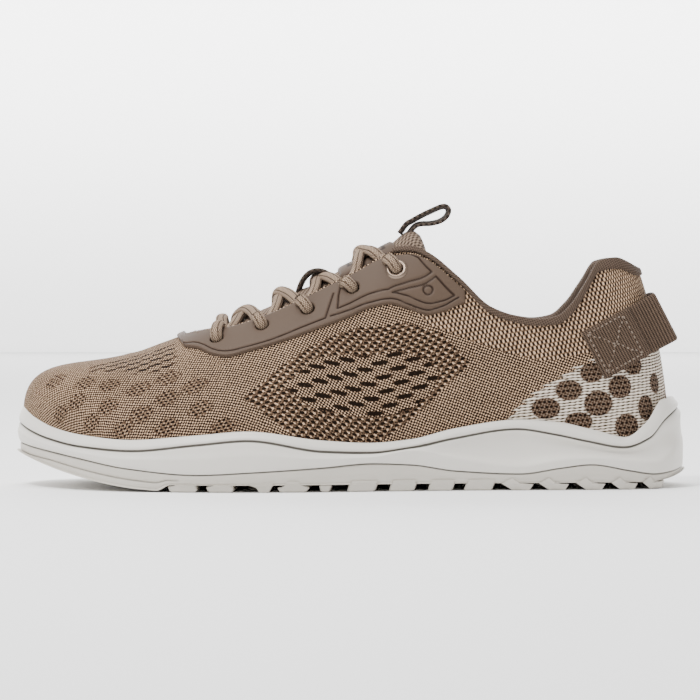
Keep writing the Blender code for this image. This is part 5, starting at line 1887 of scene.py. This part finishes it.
def pushed_out(surface, path, fixed_start, fixed_end):
    """The path moved clear of what lies under it, with its kinks smoothed out."""
    for _ in range(6):
        for k in range(fixed_start, len(path) - fixed_end):
            near, out, _, gap = surface.find_nearest(Vector(path[k]))
            away = path[k] - np.array(near)
            inside = away @ np.array(out) < 0
            clear = LACE_HEIGHT / 2 + 0.0001
            if inside or gap < clear:
                way = np.array(out) if inside else unit(away)
                path[k] = np.array(near) + way * clear
        inner = (path[:-2] + path[2:]) / 2
        keep = slice(1 + fixed_start, len(path) - 1 - fixed_end)
        path[keep] = 0.5 * path[keep] + 0.5 * inner[fixed_start : len(path) - 2 - fixed_end]
    return path


def lace_run(surface, seats, outs, into):
    """One run of lace through its seats, with its last points going down into an eyelet."""
    path = curve_through(seats, LACE_POINTS)
    over = unit(curve_through(outs, LACE_POINTS))
    path = pushed_out(surface, path, 12 if into[0] else 4, 12)
    return lace_tube(path, over, into)


def into_eyelet(number, side, before):
    """Seats where the lace bends over the rim of an eyelet and goes down through it."""
    _, _, centre, out = eyelet_place(number, side)
    ring = RING_HEIGHT if number == len(EYELETS) - 1 else 0.0
    top = OVERLAY_THICKNESS + ring
    back = before - centre
    back = unit(back - (back @ out) * out)
    seats, outs = [], []
    for away, lift, turn in LACE_BEND:
        seats.append(centre + back * away + out * (top + lift))
        outs.append(unit(out * (1 - turn) - back * turn))
    return seats, outs


def strand(surface, number, side, extra):
    """Run from the throat's edge beside one eyelet, over the tongue, to the next one opposite."""
    start, cross = CROSSINGS[number]
    seat = LACE_HEIGHT / 2 + 0.0002
    shares = (
        (start + 0.010, 1.25, -0.0040),
        (start, 0.80, seat - 0.0006),
        ((start + cross) / 2, 0.36, seat + 0.5 * extra),
    )
    seats, outs = [], []
    for at, share, lift in shares:
        seats.append(over_throat(surface, at, side, share, lift))
        outs.append(normal(*beside_ridge(at, side, share)))
    for x, z, share in LACE_RUNS[number]:
        angle, t = beside_ridge(at_of(x / 1000), -side, share)
        lower = (LACE_STACK - extra) * max(0.0, 1 - 1.6 * share)
        seats.append(np.array([x / 1000, last(angle, t)[1], z / 1000 - lower]))
        outs.append(normal(angle, t))
    down, turned = into_eyelet(number + 1, -side, seats[-1])
    return lace_run(surface, seats + down, outs + turned, (False, True))


def merged(parts):
    points, faces, place, ends = [], [], [], []
    start = 0
    for p, f, q, e in parts:
        points.append(p)
        faces += [[k + start for k in face] for face in f]
        place.append(q)
        ends.append(e)
        start += len(p)
    return np.concatenate(points), faces, np.concatenate(place), np.concatenate(ends)


def lacing():
    surface = surface_of(eyestay, tongue, tab, ring_lateral, ring_medial)
    seat = LACE_HEIGHT / 2 + BAR_LIFT
    at = EYELETS[0][0] - 0.004
    seats, outs = [], []
    for side in (-1, 1):
        half = []
        for share, lower in ((0.45, 0.0004), (1.0, 0.0016)):
            place = over_throat(surface, at, side, share, seat - lower)
            half.append((place, normal(*beside_ridge(at, side, share))))
        half += list(zip(*into_eyelet(0, side, half[-1][0])))
        if side < 0:
            half = half[::-1]
            middle = (over_throat(surface, at, 1, 0.0, seat), np.array([0.0, 0.0, 1.0]))
            half.append(middle)
        seats += [p for p, _ in half]
        outs += [o for _, o in half]
    parts = {"lace_over_bar": [lace_run(surface, seats, outs, (True, True))]}
    for number in range(len(EYELETS) - 1):
        over = strand(surface, number, 1, LACE_STACK)
        under = strand(surface, number, -1, 0.0)
        parts[f"lace_crossing_{number + 1}"] = [over, under]
    nodes = ["lace_bar"] + [f"lace_cross_{k + 1}" for k in range(len(EYELETS) - 1)]
    for (name, runs), node in zip(parts.items(), nodes):
        points, faces, place, ends = merged(runs)
        dress(name, points, faces, lace, [node], {"place": place, "end": ends}, sharp=80)


lace = lace_finish()
lacing()

# Webbing: a ribbed tape sewn to both sides of the heel with a box and cross, which stands off
# behind as a pull. A narrow braided tape makes the loop on the tongue, and another the keeper
# that the lace runs through.
WEBBING_WIDTH = 0.0225
WEBBING_THICKNESS = 0.0014
WEBBING_TILT = math.radians(27.5)
# Middle of the sewn patch's front end, the patch's length, and the pull's reach behind it
PATCH_CORNER = (x_of(0.142), 0.0, 0.0568)
PATCH_LENGTH = 0.0235
PULL_REACH = 0.0366
PULL_CURVE = 0.012
LABEL_EDGE = (0.012, 0.016)
WEBBING_COLOUR = (0.150, 0.100, 0.070)
RIB_PITCH = 0.00122
RIB_HEIGHT = 0.00060
LOOP_WIDTH = 0.0070
LOOP_THICKNESS = 0.0018
TAPE_LEAN = math.radians(-9)
WEBBING_DARK = (0.008, 0.005, 0.003)
WEBBING_STEPS = ((RIB_PITCH * 1000, 0.0), (0.0, 0.7))
WEBBING_RELIEF = 0.00018
TAPE_DARK = (0.010, 0.007, 0.006)
TAPE_COLOUR = (0.100, 0.076, 0.060)
TAPE_STEPS = ((1.2, 0.7), (-1.2, 0.7))
TAPE_RELIEF = 0.0003
webbing = woven_finish(
    "ribbed_webbing",
    WEBBING_DARK,
    WEBBING_COLOUR,
    WEBBING_STEPS,
    0.8,
    WEBBING_RELIEF,
    gain=2.2,
    smooth="label",
)
braided_tape = woven_finish(
    "braided_tape", TAPE_DARK, TAPE_COLOUR, TAPE_STEPS, 0.85, TAPE_RELIEF, gain=1.3
)


def heel_pull():
    surface = surface_of(bpy.data.objects["knitted_upper"])
    along = np.array([math.cos(WEBBING_TILT), 0.0, math.sin(WEBBING_TILT)])
    wide = np.array([-math.sin(WEBBING_TILT), 0.0, math.cos(WEBBING_TILT)])
    start = np.array(PATCH_CORNER)
    middle = RIDGE_SHIFT * float(RIDGE("shift", 0.0))
    widths = np.linspace(-0.5, 0.5, 25) * WEBBING_WIDTH

    def on_upper(run, across, side):
        place = start + along * run + wide * across
        hit = surface.ray_cast(Vector((place[0], side * 0.2, place[2])), Vector((0, -side, 0)))
        return hit[0].y + side * 0.0004

    def row(side, run):
        return [(run, on_upper(run, w, side)) for w in widths]

    rows = [row(-1, r) for r in np.linspace(0, PATCH_LENGTH, 72)]
    end_low, end_high = row(-1, PATCH_LENGTH), row(1, PATCH_LENGTH)
    free = np.linspace(0, 1, 90)[1:-1]
    for f in np.concatenate([free, [1.0], 2 - free[::-1]]):
        side, g = (-1, f) if f <= 1 else (1, 2 - f)
        edge = end_low if side < 0 else end_high
        weights = bend_weights(g)
        out = []
        for run, y in edge:
            ends = (
                (run, y),
                (run + PULL_CURVE, y - side * 0.0015),
                (PULL_REACH, middle + side * 0.020),
                (PULL_REACH, middle),
            )
            out.append(tuple(sum(w * p[i] for w, p in zip(weights, ends)) for i in range(2)))
        rows.append(out)
    rows += [row(1, r) for r in np.linspace(PATCH_LENGTH, 0, 72)]
    inner = []
    for line in rows:
        inner.append([start + along * u + wide * w + (0, y, 0) for (u, y), w in zip(line, widths)])
    inner = np.array(inner)
    ahead = np.gradient(inner, axis=0)
    out = unit(np.cross(ahead, np.broadcast_to(wide, ahead.shape)))
    run = run_along(inner[:, len(widths) // 2])
    across = np.abs(widths) / (WEBBING_WIDTH / 2)
    smooth = 1 - ease(np.abs(run - run[-1] / 2), *LABEL_EDGE)
    rib = RIB_HEIGHT * (1 - 0.85 * smooth) * np.abs(np.cos(math.pi * run / RIB_PITCH))
    edge = np.sqrt(1 - np.clip((across - 0.94) / 0.06, 0, 1) ** 2)
    thick = (WEBBING_THICKNESS - RIB_HEIGHT + rib)[:, None] * (0.5 + 0.5 * edge[None])
    outer = inner + out * thick[..., None]
    label = np.broadcast_to(smooth[:, None], thick.shape)
    marks = {"place": flat_place(run[:, None], widths[None]), "label": label}
    made = closed_wall("heel_pull", outer, inner, webbing, ["heel_webbing"], marks)
    return made, outer, out, run, widths


pull, pull_outer, pull_out, pull_run, pull_widths = heel_pull()


def tape(name, path, width, thickness, node):
    """A flat braided tape along a path, with round edges. It leans a little on its side."""
    ahead = unit(np.gradient(path, axis=0))
    level = np.broadcast_to((0.0, 1.0, 0.0), path.shape)
    over = unit(np.cross(ahead, level))
    across = unit(level * math.cos(TAPE_LEAN) + over * math.sin(TAPE_LEAN))
    over = unit(np.cross(ahead, across))
    turn = np.linspace(0, 2 * np.pi, 24, endpoint=False)
    c, s = np.cos(turn), np.sin(turn)
    a = np.sign(c) * np.abs(c) ** 0.45 * width / 2
    b = np.sign(s) * np.abs(s) ** 0.7 * thickness / 2
    rings = path[:, None] + a[None, :, None] * across[:, None] + b[None, :, None] * over[:, None]
    marks = {"place": flat_place(run_along(path)[:, None], a[None])}
    faces = tube_faces(*rings.shape[:2])
    return dress(name, rings, faces, braided_tape, [node], marks, sharp=70)


# The loop's line as shares of its reach, back and up from where it leaves the tongue
LOOP_LINE = (
    (-0.03, 0.02), (0.11, 0.21), (0.232, 0.285), (0.42, 0.39), (0.628, 0.49), (0.84, 0.58),
    (0.947, 0.58), (1.00, 0.502), (0.947, 0.377), (0.82, 0.285), (0.628, 0.235), (0.42, 0.225),
    (0.29, 0.175), (0.16, 0.02),
)
LOOP_AT = 0.4235
LOOP_REACH = 0.0207
LOOP_SINK = 0.0034


def tongue_pull():
    x = x_of(LOOP_AT)
    _, y, top = spine(x)
    root = np.array([x, float(y), float(top) - LOOP_SINK])
    path = [root + LOOP_REACH * np.array([a, 0.0, b]) for a, b in LOOP_LINE]
    path = curve_through(path, 110)
    return tape("tongue_pull", path, LOOP_WIDTH, LOOP_THICKNESS, "tongue_pull_loop")


# The keeper's arch over the lace, as (x, z) in millimetres seen from the side
GUIDE_LINE = (
    (-23.0, 82.0), (-22.0, 85.6), (-20.4, 89.2), (-18.0, 92.0), (-14.8, 93.2), (-11.6, 92.8),
    (-8.8, 91.2), (-7.0, 88.8),
)
GUIDE_WIDTH = 0.0066
GUIDE_THICKNESS = 0.0019
GUIDE_AT = 0.55
GUIDE_SIDE = 0.0015


def lace_guide():
    y = RIDGE_SHIFT * float(RIDGE("shift", GUIDE_AT)) - GUIDE_SIDE
    points = curve_through([(x / 1000, y, z / 1000) for x, z in GUIDE_LINE], 60)
    return tape("lace_guide", points, GUIDE_WIDTH, GUIDE_THICKNESS, "lace_keeper")


tongue_pull()
lace_guide()

# Stitching: thick brown thread, sewn along the overlay's throat edge, in a bar tack in front of
# it, and in the box and cross of the heel's webbing. Each stitch dips at both ends.
THREAD = 0.00034
THREAD_COLOUR = (0.235, 0.172, 0.128)
THREAD_DARK = (0.160, 0.120, 0.090)
THREAD_TWIST = 2600.0
THREAD_RELIEF = 0.00008
THREAD_SIDES = 6
STITCH_DIP = 0.00035
BOX_MARGIN = 0.0021
BOX_END = 0.0205
THROAT_STITCH = (0.0019, 0.0027)
WEBBING_STITCH = (0.0014, 0.0024)
thread, n, shader = finish("sewing_thread", THREAD_COLOUR, 0.7, Sheen_Weight=0.2)
twist = n.noise(n.on_object(), THREAD_TWIST)
twisted = n.blend(twist, (*THREAD_DARK, 1), (*THREAD_COLOUR, 1))
n.tree.links.new(twisted, shader.inputs["Base Color"])
relief(n, shader, twist, THREAD_RELIEF)


def along_line(at, run, values):
    """Point or direction at a length along a line."""
    return np.array([np.interp(at, run, values[:, i]) for i in range(3)])


def stitches(lines, length, pitch, sunk=0.00010):
    """Points and faces of stitches along lines of (points, outward directions)."""
    points, faces = [], []
    turn = np.linspace(0, 2 * np.pi, THREAD_SIDES + 1)[:-1]
    for line, outs in lines:
        line, outs = np.asarray(line), np.asarray(outs)
        run = run_along(line)
        for middle in np.arange(pitch / 2, run[-1] - pitch / 4, pitch):
            start = len(points)
            for share in np.linspace(-1, 1, THREAD_SIDES):
                at = middle + share * length / 2
                out = unit(along_line(at, run, outs))
                ahead = along_line(at + 1e-4, run, line) - along_line(at - 1e-4, run, line)
                side = unit(np.cross(unit(ahead), out))
                radius = THREAD * (0.35 + 0.65 * math.sqrt(max(0.0, 1 - share**4)))
                lift = radius * 0.3 - sunk - STITCH_DIP * share**4
                centre = along_line(at, run, line) + out * lift
                for angle in turn:
                    ray = math.cos(angle) * side + math.sin(angle) * out
                    points.append(centre + radius * ray)
            for face in tube_faces(THREAD_SIDES, THREAD_SIDES):
                faces.append([start + k for k in face])
    return points, faces


# Start and end of each seam along the length, and its depth under the overlay's top edge
THROAT_SEAMS = ((0.470, 0.727, 0.0013), (0.722, 0.742, 0.0052), (0.722, 0.742, 0.0068))


def throat_lines():
    """Lines along both throat edges of the overlay, and a bar tack in front of them."""
    made = []
    surface = surface_of(eyestay)
    for side in (-1, 1):
        for first, end, down in THROAT_SEAMS:
            line, outs = [], []
            for at in np.linspace(first, end, 60 if end - first > 0.1 else 8):
                angle = float(angle_at(at, side))
                top = float(t_at_height(angle, lambda a: top_height(np.minimum(a, 0.746)))[0])
                t = float(down_from(angle, top, down))
                out = normal(angle, t)
                line.append(seated(surface, last(angle, t), out, 0.0))
                outs.append(out)
            made.append((line, outs))
    return made


def webbing_lines():
    """Box and cross on each sewn end, as (along, across) shares of the patch."""
    made = []
    half = WEBBING_WIDTH / 2 - BOX_MARGIN
    near, far = BOX_MARGIN, BOX_END
    corners = [(near, -half), (near, half), (far, half), (far, -half)]
    pairs = [(0, 1), (1, 2), (2, 3), (3, 0), (0, 2), (1, 3)]
    for mirrored in (False, True):
        for a, b in pairs:
            line, outs = [], []
            for f in np.linspace(0, 1, 24):
                along = corners[a][0] + f * (corners[b][0] - corners[a][0])
                across = corners[a][1] + f * (corners[b][1] - corners[a][1])
                run = pull_run[-1] - along if mirrored else along
                i = int(np.argmin(np.abs(pull_run - run)))
                j = int(np.argmin(np.abs(pull_widths - across)))
                line.append(pull_outer[i, j])
                outs.append(pull_out[i, j])
            made.append((line, outs))
    return made


points, faces = stitches(throat_lines(), *THROAT_STITCH)
dress("throat_stitching", points, faces, thread, sharp=80)
points, faces = stitches(webbing_lines(), *WEBBING_STITCH, sunk=0.0)
dress("webbing_stitching", points, faces, thread, sharp=80)

# Studio: a plain pale paper floor, a white backdrop lit from behind, which is darker down at the
# floor, soft lamps above and in front, and the camera at the photograph's low side angle.
CAMERA_PLACE = (0.0, -1.450, 0.090)
CAMERA_TARGET = (0.0, 0.0, 0.0588)
LENS = 171.5
SENSOR = 36
FLOOR_HALF = 9
PAPER = (0.95, 0.95, 0.95)
BACKDROP_Y = 2.6
BACKDROP_HALF = 3
BACKDROP_HEIGHT = 2.4
GLOW = 4.5
GLOW_FOOT = (0.30, 0.30, 0.30, 1)
GLOW_RISE = 0.45
SKY = 0.85
WHITE = (1, 1, 1, 1)
# Each lamp's place, size and power
LAMPS = {
    "overhead": ((-0.20, 0.15, 1.40), (0.9, 0.7), 16),
    "key": ((-0.55, -0.60, 1.35), (0.4, 0.3), 22),
}
LAMP_TARGET = (0.0, 0.0, 0.05)


def turned_to(made, place, target):
    """The object put at a place, facing a target."""
    made.location = place
    aim = Vector(target) - Vector(place)
    made.rotation_euler = aim.to_track_quat("-Z", "Y").to_euler()
    bpy.context.scene.collection.objects.link(made)


def area_light(name, place, size, power):
    light = bpy.data.lights.new(name, "AREA")
    light.shape = "RECTANGLE"
    light.size, light.size_y = size
    light.energy = power
    turned_to(bpy.data.objects.new(name, light), place, LAMP_TARGET)


def stage_sheet(name, corners, finish):
    mesh = bpy.data.meshes.new(name)
    mesh.from_pydata(corners, [], [(0, 1, 2, 3)])
    mesh.materials.append(finish)
    sheet = bpy.data.objects.new(name, mesh)
    bpy.context.scene.collection.objects.link(sheet)


def backdrop_finish():
    made, n, shader = finish("backdrop_glow", (0.9, 0.9, 0.9), 1.0, Emission_Strength=GLOW)
    height = n.add("ShaderNodeSeparateXYZ", {0: n.on_object()}, 2)
    lit = n.blend(n.between(height, 0.0, GLOW_RISE), GLOW_FOOT, WHITE)
    n.tree.links.new(lit, shader.inputs["Emission Color"])
    return made


def studio():
    paper = finish("floor_paper", PAPER, 0.9)[0]
    signs = ((-1, -1), (1, -1), (1, 1), (-1, 1))
    corners = [(FLOOR_HALF * i, FLOOR_HALF * j, 0) for i, j in signs]
    stage_sheet("studio_floor", corners, paper)
    corners = [(BACKDROP_HALF * i, BACKDROP_Y, BACKDROP_HEIGHT * max(j, 0)) for i, j in signs]
    stage_sheet("lit_backdrop", corners, backdrop_finish())
    world = bpy.data.worlds.new("studio_world")
    world.use_nodes = True
    world.node_tree.nodes["Background"].inputs[0].default_value = WHITE
    world.node_tree.nodes["Background"].inputs[1].default_value = SKY
    bpy.context.scene.world = world
    for name, (place, size, power) in LAMPS.items():
        area_light(name, place, size, power)
    view = bpy.data.cameras.new("camera")
    view.lens = LENS
    view.sensor_width = SENSOR
    camera = bpy.data.objects.new("camera", view)
    turned_to(camera, CAMERA_PLACE, CAMERA_TARGET)
    bpy.context.scene.camera = camera


studio()
